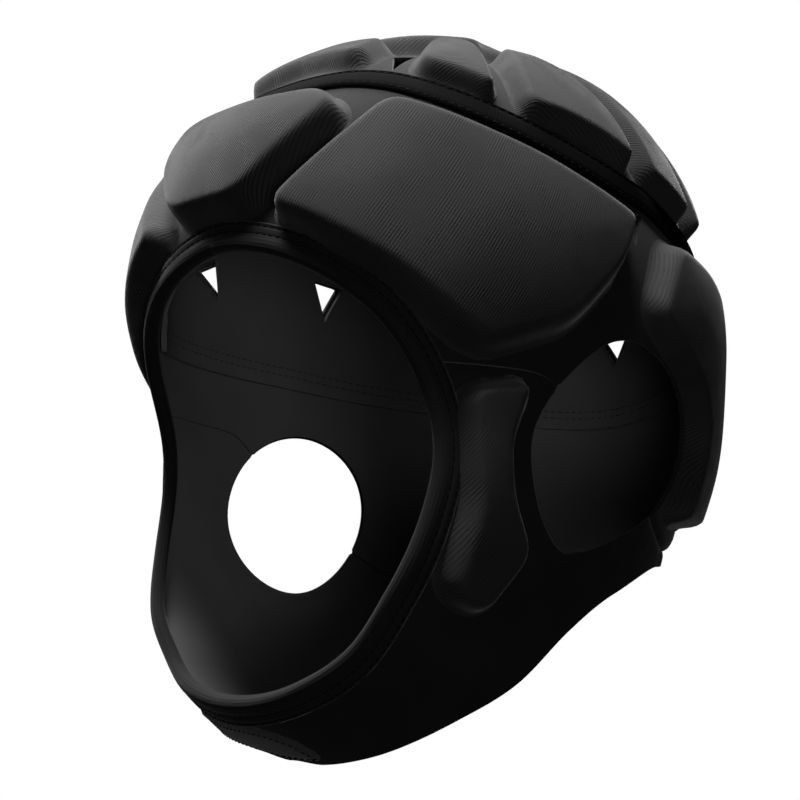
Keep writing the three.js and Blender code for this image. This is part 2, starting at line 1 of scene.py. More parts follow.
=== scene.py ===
"""Dresses a soft padded head guard: knit panels, foam pads, lining, tape, binding, chin tab and stitching.

Sizes are in millimetres over the head form and become metres when a mesh is made.
"""

import logging
import math
from dataclasses import dataclass, field, replace
from enum import Enum
from typing import Any, Callable, NamedTuple, Sequence

import bpy
import numpy as np
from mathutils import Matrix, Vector, kdtree
from mathutils.geometry import delaunay_2d_cdt

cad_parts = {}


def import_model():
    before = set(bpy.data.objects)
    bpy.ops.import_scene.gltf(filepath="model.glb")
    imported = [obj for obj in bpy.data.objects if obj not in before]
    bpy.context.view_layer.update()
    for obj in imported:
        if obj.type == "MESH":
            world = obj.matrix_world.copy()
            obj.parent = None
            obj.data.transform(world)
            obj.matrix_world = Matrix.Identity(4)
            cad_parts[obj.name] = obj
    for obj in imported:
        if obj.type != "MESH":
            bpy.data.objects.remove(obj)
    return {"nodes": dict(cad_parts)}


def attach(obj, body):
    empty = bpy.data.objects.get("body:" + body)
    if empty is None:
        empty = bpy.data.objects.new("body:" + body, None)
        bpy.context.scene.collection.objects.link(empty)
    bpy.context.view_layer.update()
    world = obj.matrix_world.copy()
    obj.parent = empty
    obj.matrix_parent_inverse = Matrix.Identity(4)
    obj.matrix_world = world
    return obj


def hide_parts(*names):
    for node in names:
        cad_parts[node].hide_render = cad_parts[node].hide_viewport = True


LOG = logging.getLogger("headgear")
BODY = "root"
METRES = 0.001
CLOTH_UV = "cloth"
Array = np.ndarray
Levels = Callable[[np.ndarray], np.ndarray]  # gives the level of a line at each azimuth
Piece = bpy.types.Object
Tree = bpy.types.NodeTree
Socket = bpy.types.NodeSocket


# Rows of points

def unit(rows: Array) -> Array:
    """The rows' directions, each of length one."""
    return rows / np.linalg.norm(rows, axis=1, keepdims=True)


def reach_along(points: Array) -> Array:
    """The distance along a polyline at each of its points."""
    return np.concatenate([[0], np.cumsum(np.linalg.norm(np.diff(points, axis=0), axis=1))])


def run_along(points: Array, closed: bool) -> Array:
    """The way that a line runs at each of its points, not of any set length."""
    return np.roll(points, -1, 0) - np.roll(points, 1, 0) if closed else np.gradient(points, axis=0)


def respaced(rows: Array, step: float, closed: bool, axes: int = 2, least: int = 3) -> Array:
    """Spaces a polyline's points evenly; columns after its axes go along.

    Args:
        rows: Rows that start with a point.
        step: The spacing wanted.
        closed: Whether its end joins its start.
        axes: How many columns make a point.
        least: The fewest steps.

    Returns:
        The new rows, without a repeat of the first where it is closed.
    """
    if closed:
        rows = np.vstack([rows, rows[:1]])
    reach = reach_along(rows[:, :axes])
    at = np.linspace(0, reach[-1], max(least, round(reach[-1] / step)) + 1)
    if closed:
        at = at[:-1]
    return np.column_stack([np.interp(at, reach, column) for column in rows.T])


# Head form

class Section(NamedTuple):
    """One level section of the head, at a drop below its widest level."""

    drop: float
    side: float
    front: float
    back: float
    front_fullness: float


class Place(NamedTuple):
    """A place on the head: azimuth 0 is the face and 90 the wearer's left, level 0 is the crown."""

    azimuth: float
    level: float


class NeckPlace(NamedTuple):
    """The level of the neck edge at an azimuth, on the wearer's left and right."""

    azimuth: float
    left: float
    right: float


def smooth_between(keys: Array, values: Array, at: Array) -> Array:
    """Reads a smooth curve through a table, level at both ends.

    Args:
        keys: Rising keys of the table.
        values: A value for each key.
        at: Keys to read.

    Returns:
        The values there.
    """
    slopes = np.zeros_like(values)
    slopes[1:-1] = (values[2:] - values[:-2]) / (keys[2:] - keys[:-2])
    x = np.clip(at, keys[0], keys[-1])
    row = np.clip(np.searchsorted(keys, x) - 1, 0, len(keys) - 2)
    span = keys[row + 1] - keys[row]
    t = (x - keys[row]) / span
    rise = t * t * (3 - 2 * t)
    bend = t * (1 - t) ** 2 * slopes[row] - t * t * (1 - t) * slopes[row + 1]
    return values[row] + (values[row + 1] - values[row]) * rise + bend * span


def read_table(rows: Sequence[tuple], column: str, at: Array) -> Array:
    """Reads one named column of a table whose first column is its key.

    Args:
        rows: Rows of one named tuple type.
        column: The column's name.
        at: Keys to read.

    Returns:
        The values there.
    """
    keys = np.array([row[0] for row in rows], float)
    values = np.array([getattr(row, column) for row in rows], float)
    return smooth_between(keys, values, np.asarray(at, float))


@dataclass(frozen=True)
class HeadForm:
    """The outside of the cloth panels: a dome above the widest level and sections below it."""

    panel_wall: float = 3.0
    inner_gap: float = 1.2
    lining_wall: float = 1.2
    crown_rise: float = 97.0
    crown_lean: float = 5.0
    dome_fullness: float = 2.45
    back_fullness: float = 2.1
    widest_level: float = 90.0
    drop_per_level: float = 1.5
    sections: tuple[Section, ...] = (
        Section(-50, 80, 99, 87, 2.4),
        Section(0, 80, 99, 87, 2.7),
        Section(32, 78.5, 98, 83, 2.65),
        Section(67, 73, 96, 70, 3.7),
        Section(85, 68.5, 94.5, 63, 4),
        Section(102, 63, 92, 57, 3.2),
        Section(112, 59, 89, 55, 2.75),
        Section(120, 55, 83.5, 53, 2.4),
        Section(127, 50, 77, 52, 2.2),
        Section(135, 42, 66, 50, 2.2),
        Section(141, 32, 54, 48, 2.2),
        Section(147, 18, 40, 46, 2.2),
    )

    @property
    def widest_z(self) -> float:
        """Height of the widest level over the origin."""
        return self.panel_wall + self.inner_gap + self.lining_wall - self.crown_rise

    def surface(self, places: Array) -> Array:
        """Points on the outside of the panels.

        Args:
            places: Rows of azimuth and level in degrees.

        Returns:
            Rows of x, y and z.
        """
        turn, level = np.radians(places[:, 0]), places[:, 1]
        tilt = np.radians(np.minimum(level, self.widest_level))
        sine, cosine = np.sin(tilt), np.maximum(0, np.cos(tilt))
        power = self.dome_fullness
        swell = (sine**power + cosine**power) ** (-1 / power)
        height = swell * cosine
        below = np.maximum(0, level - self.widest_level) * self.drop_per_level
        drop = below - self.crown_rise * height
        ahead = np.cos(turn)
        side = read_table(self.sections, "side", drop)
        front = read_table(self.sections, "front", drop)
        back = read_table(self.sections, "back", drop)
        reach = np.where(ahead >= 0, front, back)
        front_fullness = read_table(self.sections, "front_fullness", drop)
        fullness = np.where(ahead >= 0, front_fullness, self.back_fullness)
        section = np.abs(np.sin(turn) / side) ** fullness + np.abs(ahead / reach) ** fullness
        radius = swell * sine / section ** (1 / fullness)
        y = -radius * ahead - self.crown_lean * height**2
        return np.column_stack([radius * np.sin(turn), y, self.widest_z - drop])

    def steps(self, places: Array) -> tuple[Array, Array]:
        """The directions along the form for one degree of azimuth and for one level.

        Args:
            places: Rows of azimuth and level.

        Returns:
            Rows of the step round the head and of the step down it.
        """
        step = 0.1
        low = np.column_stack([places[:, 0], np.maximum(places[:, 1], 1)])
        aside, beneath = np.array([step, 0]), np.array([0, step])
        around = (self.surface(low + aside) - self.surface(low - aside)) / (2 * step)
        down = (self.surface(low + beneath) - self.surface(low - beneath)) / (2 * step)
        return around, down

    def normals(self, places: Array) -> Array:
        """Unit normals of the form, pointing away from the head."""
        around, down = self.steps(places)
        return unit(np.cross(down, around))

    def lifted(self, places: Array, lift: Array | float) -> Array:
        """Points lifted off the outside of the panels, or sunk below it where lift is negative."""
        return self.surface(places) + self.normals(places) * np.reshape(lift, (-1, 1))

    def across(self, path: Array, distance: float, closed: bool = True) -> Array:
        """Moves a path sideways over the form.

        Args:
            path: Places along the path.
            distance: How far, to the right of the way that it runs as seen from outside.
            closed: Whether its end joins its start.

        Returns:
            The moved places.
        """
        along = run_along(path, closed)
        around, down = self.steps(path)
        wide = (around * around).sum(1)
        mixed = (around * down).sum(1)
        deep = (down * down).sum(1)
        side = np.column_stack([
            -(mixed * along[:, 0] + deep * along[:, 1]),
            wide * along[:, 0] + mixed * along[:, 1],
        ])
        length = wide * side[:, 0] ** 2 + 2 * mixed * side[:, 0] * side[:, 1] + deep * side[:, 1] ** 2
        return path + side / np.sqrt(length)[:, None] * distance


HEAD = HeadForm()
PANEL_UNDER = -HEAD.panel_wall
LINING_OUTER = PANEL_UNDER - HEAD.inner_gap
LINING_INNER = LINING_OUTER - HEAD.lining_wall

# Lines of the cut

CROWN_SEAM = (
    Place(0, 42.5), Place(15, 42.5), Place(25, 42.8), Place(35, 44.6), Place(49, 49.2), Place(61, 53.4),
    Place(76, 58), Place(95, 63.2), Place(103, 65), Place(115, 69), Place(130, 73),
    Place(145, 74.5), Place(180, 74.5),
)
BAND_EDGE = (
    Place(0, 103), Place(60, 103), Place(70, 105), Place(106, 129.5), Place(114, 134), Place(120, 135),
    Place(130, 133.5), Place(150, 131.5), Place(180, 130.5),
)
NECK_EDGE = (
    NeckPlace(0, 180, 180), NeckPlace(9, 181, 178), NeckPlace(22, 180, 176), NeckPlace(34, 177.5, 175),
    NeckPlace(49, 172.5, 172), NeckPlace(66, 165, 168), NeckPlace(81, 154, 162.5),
    NeckPlace(95, 146, 157.5), NeckPlace(119, 138.5, 142),
)
LINING_HEM = (
    Place(0, 92), Place(40, 90), Place(70, 90.6), Place(95, 91.6), Place(130, 94.2), Place(180, 100.2),
)
FACE_RIM_HALF = (
    Place(0, 77.4), Place(13, 79.7), Place(25, 85.1), Place(34, 92.5), Place(41.5, 105), Place(45, 119),
    Place(43, 133), Place(37, 148), Place(28, 160), Place(15, 166.5), Place(0, 168.5),
)
LEFT_EAR_RIM = (
    Place(88, 94), Place(98, 93.6), Place(110, 98.8), Place(117.5, 107.8), Place(117.3, 117.8),
    Place(109, 127.3), Place(96, 134), Place(82, 138.5), Place(74.5, 138.8), Place(68, 133),
    Place(64.4, 122.5), Place(64.8, 115), Place(70, 106.5), Place(79.5, 98.3),
)
RIGHT_EAR_CENTRE = Place(-87, 121)
RIGHT_EAR_ACROSS = Place(-22.4, -1.6)  # half axes of the right ear hole, a leaning ellipse
RIGHT_EAR_ALONG = Place(2.6, 19.3)
CROWN_VENT = (Place(34, 40), Place(31, 30), Place(39, 30))
SIDE_VENT = (Place(96.2, 75), Place(91.2, 66.4), Place(101.6, 67.4))
BACK_VENT = (Place(-180, 85.8), Place(-185, 79.2), Place(-175, 79.2))
HALF_TURN = 180.0
WHOLE_TURN = 360.0
CHEEK_REAR_AZIMUTH = 119.0
BAND_CUT_AZIMUTH = 150.0  # where the band is opened to lie flat, in the valley behind the rear pad
BAND_ENDS = (BAND_CUT_AZIMUTH - WHOLE_TURN, BAND_CUT_AZIMUTH)
SEAM_GAP = 0.4
LINE_STEP = 1.3  # spacing of points along the cut lines
SPLINE_STEPS = 40  # points between two places of an outline, before they are spaced evenly
ELLIPSE_STEPS = 120
MM_PER_AZIMUTH = 1.42
MM_PER_CROWN_LEVEL = 1.65


class Plan(Enum):
    """Flat layouts, in millimetres, in which a panel is cut out."""

    BAND = "the band and the cheeks unrolled"
    CROWN = "the crown from above"

    def lay(self, places: Array) -> Array:
        """Lays places of the head out flat.

        Args:
            places: Rows of azimuth and level.

        Returns:
            Rows of x and y.
        """
        if self is Plan.BAND:
            return places * (MM_PER_AZIMUTH, HEAD.drop_per_level)
        turn, radius = np.radians(places[:, 0]), places[:, 1] * MM_PER_CROWN_LEVEL
        return np.column_stack([radius * np.sin(turn), radius * np.cos(turn)])

    def places(self, flat: Array) -> Array:
        """Takes flat points back to places of the head.

        Args:
            flat: Rows of x and y.

        Returns:
            Rows of azimuth and level.
        """
        if self is Plan.BAND:
            return flat / (MM_PER_AZIMUTH, HEAD.drop_per_level)
        azimuth = np.degrees(np.arctan2(flat[:, 0], flat[:, 1]))
        return np.column_stack([azimuth, np.hypot(flat[:, 0], flat[:, 1]) / MM_PER_CROWN_LEVEL])


def from_face(azimuth: Array) -> Array:
    """The angle between an azimuth and the face, the same on the left and the right."""
    return np.abs((np.asarray(azimuth, float) + (HALF_TURN + WHOLE_TURN)) % WHOLE_TURN - HALF_TURN)


def line_level(line: Sequence[Place], azimuth: Array) -> Array:
    """The level of a line that is the same on the left and the right."""
    return read_table(line, "level", from_face(azimuth))


def neck_level(azimuth: Array) -> Array:
    """The level of the neck edge."""
    left, right = (read_table(NECK_EDGE, side, np.abs(azimuth)) for side in ("left", "right"))
    return np.where(azimuth < 0, right, left)


def mirrored(places: Sequence[Place]) -> tuple[Place, ...]:
    """The same places on the wearer's other side."""
    return tuple(place._replace(azimuth=-place.azimuth) for place in places)


def smooth_loop(rows: Sequence[Place]) -> Array:
    """A smooth closed outline through the rows, as a centripetal spline.

    Args:
        rows: Places on the outline.

    Returns:
        Places spaced evenly by the cut lines' spacing.
    """
    points = np.array(rows, float)
    t = np.linspace(0, 1, SPLINE_STEPS, endpoint=False)[:, None]
    ease = 3 * t**2 - 2 * t**3
    stretches = []
    for i in range(len(points)):
        before, start, end, after = (points[(i + k) % len(points)] for k in (-1, 0, 1, 2))
        gaps = [math.sqrt(np.linalg.norm(b - a)) for a, b in ((before, start), (start, end), (end, after))]
        first = (start - before) / gaps[0] - (end - before) / (gaps[0] + gaps[1]) + (end - start) / gaps[1]
        last = (end - start) / gaps[1] - (after - start) / (gaps[1] + gaps[2]) + (after - end) / gaps[2]
        bend = (t**3 - 2 * t**2 + t) * first + (t**3 - t**2) * last
        stretches.append(start + (end - start) * ease + bend * gaps[1])
    return evenly(np.vstack(stretches))


def evenly(places: Array) -> Array:
    """Spaces a closed outline's places by the cut lines' spacing."""
    return Plan.BAND.places(respaced(Plan.BAND.lay(places), LINE_STEP, True))


def right_ear() -> Array:
    """The outline of the right ear hole."""
    turn = np.linspace(0, 2 * math.pi, ELLIPSE_STEPS, endpoint=False)[:, None]
    return evenly(RIGHT_EAR_CENTRE + np.cos(turn) * RIGHT_EAR_ACROSS + np.sin(turn) * RIGHT_EAR_ALONG)


FACE_RIM = smooth_loop(FACE_RIM_HALF + mirrored(FACE_RIM_HALF[-2:0:-1]))
EAR_HOLES = (smooth_loop(LEFT_EAR_RIM), right_ear())
CROWN_VENTS = (CROWN_VENT, mirrored(CROWN_VENT))
BAND_VENTS = (SIDE_VENT, mirrored(SIDE_VENT), BACK_VENT)


def level_line(level_at: Levels, start: float, end: float, step: float = 0.8) -> Array:
    """Places along a line from one azimuth to another, whose level is a function of azimuth."""
    azimuth = np.linspace(start, end, max(2, round(abs(end - start) / step)) + 1)
    return np.column_stack([azimuth, level_at(azimuth)])


def round_line(level_at: Levels, step: float = 0.8) -> Array:
    """Places along a line that runs once round the head."""
    return level_line(level_at, -HALF_TURN, HALF_TURN, step)[:-1]


def beside_seam(distance: float) -> Levels:
    """A line beside the crown seam.

    Args:
        distance: How far it lies below the seam, in millimetres.

    Returns:
        The function that gives its level at an azimuth.
    """

    def level_at(azimuth: Array) -> Array:
        """The line's level.

        Args:
            azimuth: Azimuths to read.

        Returns:
            The level at each.
        """
        level = line_level(CROWN_SEAM, azimuth)
        _, down = HEAD.steps(np.column_stack([azimuth, level]))
        return level + distance / np.linalg.norm(down, axis=1)

    return level_at


# Flat cutting

CUT_SLACK = 1e-4  # points of a cut that lie nearer than this are one


def within(flat: Array, outline: Array) -> Array:
    """Tells which flat points lie inside a closed outline.

    Args:
        flat: Points to test.
        outline: The outline's points.

    Returns:
        True for each point inside.
    """
    ahead = np.roll(outline, -1, 0)
    x, y = flat[:, :1], flat[:, 1:]
    crossing = (outline[:, 1] > y) != (ahead[:, 1] > y)
    rise = np.where(ahead[:, 1] == outline[:, 1], 1.0, ahead[:, 1] - outline[:, 1])
    at = outline[:, 0] + (y - outline[:, 1]) / rise * (ahead[:, 0] - outline[:, 0])
    return (np.sum(crossing & (x < at), axis=1) % 2).astype(bool)


def clear_of(flat: Array, outlines: Sequence[Array]) -> Array:
    """Tells which flat points lie outside every one of some closed outlines."""
    return ~np.any([within(flat, outline) for outline in outlines], axis=0)


class Nearness(NamedTuple):
    """How far points lie from a polyline, and where along it the nearest place is."""

    distance: Array
    segment: Array
    share: Array


def nearness(flat: Array, line: Array, closed: bool) -> Nearness:
    """Measures flat points against a polyline.

    Args:
        flat: Points to measure.
        line: The polyline's points.
        closed: Whether its end joins its start.

    Returns:
        The distance, and the nearest segment with the share along it.
    """
    start = line if closed else line[:-1]
    along = (np.roll(line, -1, 0) if closed else line[1:]) - start
    away = flat[:, None, :] - start[None]
    share = np.clip((away * along).sum(2) / (along * along).sum(1), 0, 1)
    gap = np.linalg.norm(away - share[..., None] * along, axis=2)
    nearest = gap.argmin(1)
    row = np.arange(len(flat))
    return Nearness(gap[row, nearest], nearest, share[row, nearest])


class Loop(NamedTuple):
    """A line that the triangles of a cut follow."""

    flat: Array
    closed: bool


class Cut(NamedTuple):
    """A flat panel as points and triangles."""

    flat: Array
    faces: Array


def honeycomb(low: Array, high: Array, step: float) -> Array:
    """Evenly spread points over a rectangle.

    Args:
        low: Its lowest corner.
        high: Its highest corner.
        step: Distance between neighbours.

    Returns:
        Rows of x and y.
    """
    rows = np.arange(low[1], high[1], step * math.sqrt(0.75))
    columns = np.arange(low[0], high[0], step)
    x, y = np.meshgrid(columns, rows)
    x[1::2] += step / 2
    return np.column_stack([x.ravel(), y.ravel()])


def cut_out(loops: Sequence[Loop], fill: Array, covers: Callable[[Array], Array], gap: float = 0.6) -> Cut:
    """Triangulates the part of the plane that a panel covers.

    Args:
        loops: Lines that the triangles follow.
        fill: Points inside the panel; those too near a line are left out.
        covers: Tells which flat points belong to the panel.
        gap: Smallest distance from a fill point to a line's point.

    Returns:
        The cut panel.
    """
    corners: list[Array] = []
    edges: list[tuple[int, int]] = []
    for flat, closed in loops:
        start, count = len(corners), len(flat)
        corners.extend(flat)
        edges.extend((start + i, start + i + 1) for i in range(count - 1))
        if closed:
            edges.append((start + count - 1, start))
    tree = kdtree.KDTree(len(corners) + len(fill))
    for i, corner in enumerate(corners):
        tree.insert((*corner, 0), i)
    tree.balance()
    cells = np.unique(np.round(fill / (gap / 2)), axis=0, return_index=True)[1]
    spare = [point for point in fill[np.sort(cells)] if tree.find((*point, 0))[2] > gap]
    points = [Vector(point) for point in [*corners, *spare]]
    made = delaunay_2d_cdt(points, edges, [], 0, CUT_SLACK, False)
    flat = np.array([point[:] for point in made[0]])
    faces = np.array([face for face in made[2] if len(face) == 3])
    faces = faces[covers(flat[faces].mean(1))]
    used, renumbered = np.unique(faces, return_inverse=True)
    return Cut(flat[used], renumbered.reshape(-1, 3))


# Meshes

WELD_DIGITS = 3  # digits of a millimetre in which points on each other agree
SHARP_BEND = 60.0  # edges that bend by more than this many degrees stay sharp


def new_piece(name: str, points: Array, faces: Sequence[Sequence[int]]) -> Piece:
    """Makes a smooth mesh object from points in millimetres.

    Args:
        name: The piece's name.
        points: Rows of x, y and z.
        faces: Corner numbers of each face.

    Returns:
        The new object.
    """
    mesh = bpy.data.meshes.new(name)
    mesh.from_pydata((points * METRES).tolist(), [], [tuple(face) for face in faces])
    mesh.validate()
    mesh.shade_smooth()
    mesh.set_sharp_from_angle(angle=math.radians(SHARP_BEND))
    piece = bpy.data.objects.new(name, mesh)
    bpy.context.scene.collection.objects.link(piece)
    return piece


def lay_uv(piece: Piece, corners: Array) -> None:
    """Gives each face corner its flat place in millimetres, which the cloth patterns are drawn in."""
    layer = piece.data.uv_layers.new(name=CLOTH_UV)
    layer.data.foreach_set("uv", np.asarray(corners, np.float32).ravel())


def boundary_of(faces: Array) -> Array:
    """Finds the edges that only one triangle uses.

    Args:
        faces: Triangles, all turned one way.

    Returns:
        Rows of the two corners of each edge, in its triangle's order.
    """
    edges = np.concatenate([faces[:, [0, 1]], faces[:, [1, 2]], faces[:, [2, 0]]])
    _, index, uses = np.unique(np.sort(edges, 1), axis=0, return_index=True, return_counts=True)
    return edges[index[uses == 1]]


def welded(points: Array, faces: Array) -> Array:
    """Joins points that lie on each other.

    Args:
        points: Rows of x, y and z.
        faces: Triangles.

    Returns:
        The triangles, with the first of such points in place of the others.
    """
    rounded = np.round(points, WELD_DIGITS)
    _, first, inverse = np.unique(rounded, axis=0, return_index=True, return_inverse=True)
    return first[inverse.ravel()][faces]


EDGE_ROLL = ((0.2, 0.55), (0.5, 0.75), (0.8, 0.55))  # an edge's rings: depth in the wall, share of the roll


def shell(
    name: str, plan: Plan, cut: Cut, outer: Array, inner: Array, roll: Array | float = 0.0
) -> Piece:
    """Makes a closed cloth piece between two lifts of a flat cut.

    Args:
        name: The piece's name.
        plan: The plan that it was cut in.
        cut: The flat cut.
        outer: Lift of each point on the outside.
        inner: Lift of each point on the inside.
        roll: Millimetres, of which each ring of the edge roll takes its share to swell past the cut.

    Returns:
        The piece, with outside faces in the first material slot and inside faces in the second.
    """
    places = plan.places(cut.flat)
    ground, normal = HEAD.surface(places), HEAD.normals(places)
    count = len(places)
    outer, inner, rolls = (np.broadcast_to(each, count)[:, None] for each in (outer, inner, roll))
    top, under = ground + normal * outer, ground + normal * inner
    faces = welded(ground, cut.faces)
    edges = boundary_of(faces)
    along = np.zeros((count, 3))
    for column in (0, 1):
        np.add.at(along, edges[:, column], top[edges[:, 1]] - top[edges[:, 0]])
    out = np.cross(along, normal)
    out /= np.maximum(np.linalg.norm(out, axis=1, keepdims=True), 1e-9)
    first, second, third = faces[0]
    facing = np.cross(top[second] - top[first], top[third] - top[first]) @ normal[first]
    out *= np.sign(facing)
    rolled = [top + (under - top) * depth + out * (rolls * swell) for depth, swell in EDGE_ROLL]
    points = np.vstack([top, *rolled, under])
    walls = len(rolled) + 1
    a, b = edges.T
    quads = np.vstack([np.column_stack([b, a, a + count, b + count]) + ring * count for ring in range(walls)])
    inside = faces[:, ::-1] + walls * count
    outer_corners = cut.faces
    if facing < 0:
        faces, inside, quads = faces[:, ::-1], inside[:, ::-1], quads[:, ::-1]
        outer_corners = cut.faces[:, ::-1]
    every = np.concatenate([faces.ravel(), inside.ravel(), quads.ravel()])
    used, renumbered = np.unique(every, return_inverse=True)
    sides, wall = np.split(renumbered.ravel(), [2 * faces.size])
    shapes = [*sides.reshape(-1, 3).tolist(), *wall.reshape(-1, 4).tolist()]
    piece = new_piece(name, points[used], shapes)
    corners = np.concatenate([outer_corners.ravel(), outer_corners[:, ::-1].ravel(), quads.ravel() % count])
    lay_uv(piece, cut.flat[corners])
    slots = np.zeros(len(shapes), np.int32)
    slots[len(faces): 2 * len(faces)] = 1
    piece.data.polygons.foreach_set("material_index", slots)
    return piece


def keep_sharp(piece: Piece, points: Array) -> None:
    """Keeps the edges between some of a piece's points sharp.

    Args:
        piece: The piece.
        points: Rows of two points in millimetres for each edge.
    """
    tree = kdtree.KDTree(len(piece.data.vertices))
    for vertex in piece.data.vertices:
        tree.insert(vertex.co, vertex.index)
    tree.balance()
    pairs = {tuple(sorted(tree.find(Vector(end) * METRES)[1] for end in edge)) for edge in points}
    ends = np.zeros(len(piece.data.edges) * 2, np.int32)
    piece.data.edges.foreach_get("vertices", ends)
    wanted = [tuple(sorted(pair)) in pairs for pair in ends.reshape(-1, 2).tolist()]
    attributes = piece.data.attributes
    marks = attributes.get("sharp_edge") or attributes.new("sharp_edge", "BOOLEAN", "EDGE")
    held = np.zeros(len(wanted), bool)
    marks.data.foreach_get("value", held)
    marks.data.foreach_set("value", held | np.array(wanted))


def turned_out(points: Array, faces: Sequence[Sequence[int]]) -> list[list[int]]:
    """Turns the faces of a closed body outwards.

    Args:
        points: Rows of x, y and z.
        faces: Corner numbers of each face, all turned one way.

    Returns:
        The faces, turned round if they looked inwards.
    """
    middle = points.mean(0)
    volume = 0.0
    for face in faces:
        first, *others = (points[corner] - middle for corner in face)
        for second, third in zip(others, others[1:]):
            volume += float(first @ np.cross(second, third))
    return [list(face) if volume > 0 else list(face)[::-1] for face in faces]


def swept(name: str, path: Array, section: Sequence[tuple[float, float]]) -> Piece:
    """Sweeps a closed section along a closed path over the head.

    Args:
        name: The piece's name.
        path: Places along the path.
        section: Rows of the distance across the path and the lift, in order round the section.

    Returns:
        The piece, with its length along the path and the way round its section as the flat place.
    """
    points = np.stack([HEAD.lifted(HEAD.across(path, across), lift) for across, lift in section], 1)
    stations, sides = points.shape[:2]
    i = np.repeat(np.arange(stations), sides)
    k = np.tile(np.arange(sides), stations)
    here, there = i * sides, (i + 1) % stations * sides
    after = (k + 1) % sides
    solid = points.reshape(-1, 3)
    faces = np.array(turned_out(solid, np.column_stack([here + k, there + k, there + after, here + after])))
    piece = new_piece(name, solid, faces.tolist())
    length, girth = reach_along(points[:, 0]), reach_along(points[0])
    lay_uv(piece, np.column_stack([length[faces.ravel() // sides], girth[faces.ravel() % sides]]))
    return piece


@dataclass(frozen=True)
class StitchRow:
    """A row of machine stitches along a path on the head."""

    path: Array
    lift: float
    closed: bool = True
    pitch: float = 2.9
    length: float = 2.1
    width: float = 0.55
    height: float = 0.34

    def solid(self) -> tuple[Array, list[tuple[int, ...]]]:
        """The stitches as points and faces, each a small spindle half sunk in the cloth.

        Returns:
            Points in millimetres and the faces' corners.
        """
        rows = np.column_stack([HEAD.lifted(self.path, self.lift), self.path])
        spaced = respaced(rows, self.pitch, self.closed, axes=3, least=2)
        centres, places = spaced[:, :3], spaced[:, 3:]
        normal = HEAD.normals(places)
        along = run_along(centres, self.closed)
        along = unit(along - normal * (along * normal).sum(1, keepdims=True))
        aside = np.cross(normal, along)
        shape, faces = spindle()
        scaled = shape * (self.length / 2, self.width / 2, self.height)
        points = centres[:, None] + np.einsum("sk,nkx->nsx", scaled, np.stack([along, aside, normal], 1))
        count = len(shape)
        every = [tuple(c + n * count for c in face) for n in range(len(centres)) for face in faces]
        return points.reshape(-1, 3), every


def spindle(sides: int = 6) -> tuple[Array, list[tuple[int, ...]]]:
    """A thread's short stretch from point to point, along x.

    Args:
        sides: Sides of its section.

    Returns:
        Points of a body two long, two wide and two high, and its faces.
    """
    turns = np.arange(sides) * 2 * math.pi / sides
    rings = [(-0.72, 0.75), (0.0, 1.0), (0.72, 0.75)]  # place along it, and half its thickness there
    points = [[x, r * math.cos(t), r * math.sin(t)] for x, r in rings for t in turns]
    points += [[-1.0, 0.0, 0.0], [1.0, 0.0, 0.0]]
    first, last = len(points) - 2, len(points) - 1
    faces: list[tuple[int, ...]] = []
    for k in range(sides):
        n = (k + 1) % sides
        faces.append((first, n, k))
        for ring in (0, sides):
            faces.append((ring + k, ring + n, ring + sides + n, ring + sides + k))
        faces.append((2 * sides + k, 2 * sides + n, last))
    return np.array(points), faces


# Finishes

def linear(colour: str) -> tuple[float, float, float, float]:
    """Turns an sRGB hex colour to linear values.

    Args:
        colour: Six hex digits after a hash mark.

    Returns:
        Linear red, green, blue and an alpha of one.
    """
    parts = [int(colour[i: i + 2], 16) / 255 for i in (1, 3, 5)]
    values = [p / 12.92 if p <= 0.04045 else ((p + 0.055) / 1.055) ** 2.4 for p in parts]
    return (values[0], values[1], values[2], 1.0)


def add_node(
    tree: Tree,
    kind: str,
    settings: dict[Any, Any] | None = None,
    links: dict[Any, Any] | None = None,
) -> bpy.types.Node:
    """Adds a node with its settings and links.

    Args:
        tree: The node tree.
        kind: The node's type.
        settings: Values by the name of a property, or the name or number of an input.
        links: Output sockets by the name or number of the input that they go to.

    Returns:
        The node.
    """
    node = tree.nodes.new(kind)
    for key, value in (settings or {}).items():
        if isinstance(key, int) or key in node.inputs:
            node.inputs[key].default_value = value
        else:
            setattr(node, key, value)
    for key, socket in (links or {}).items():
        tree.links.new(socket, node.inputs[key])
    return node


def set_shader(tree: Tree, settings: dict[str, Any]) -> bpy.types.Node:
    """Sets inputs of a tree's surface shader.

    Args:
        tree: The node tree.
        settings: Values by the name of an input.

    Returns:
        The shader.
    """
    shader = tree.nodes["Principled BSDF"]
    for key, value in settings.items():
        shader.inputs[key].default_value = value
    return shader


WAVE_PERIOD = 2 * math.pi / 20  # length of one band of Blender's wave texture at a scale of one


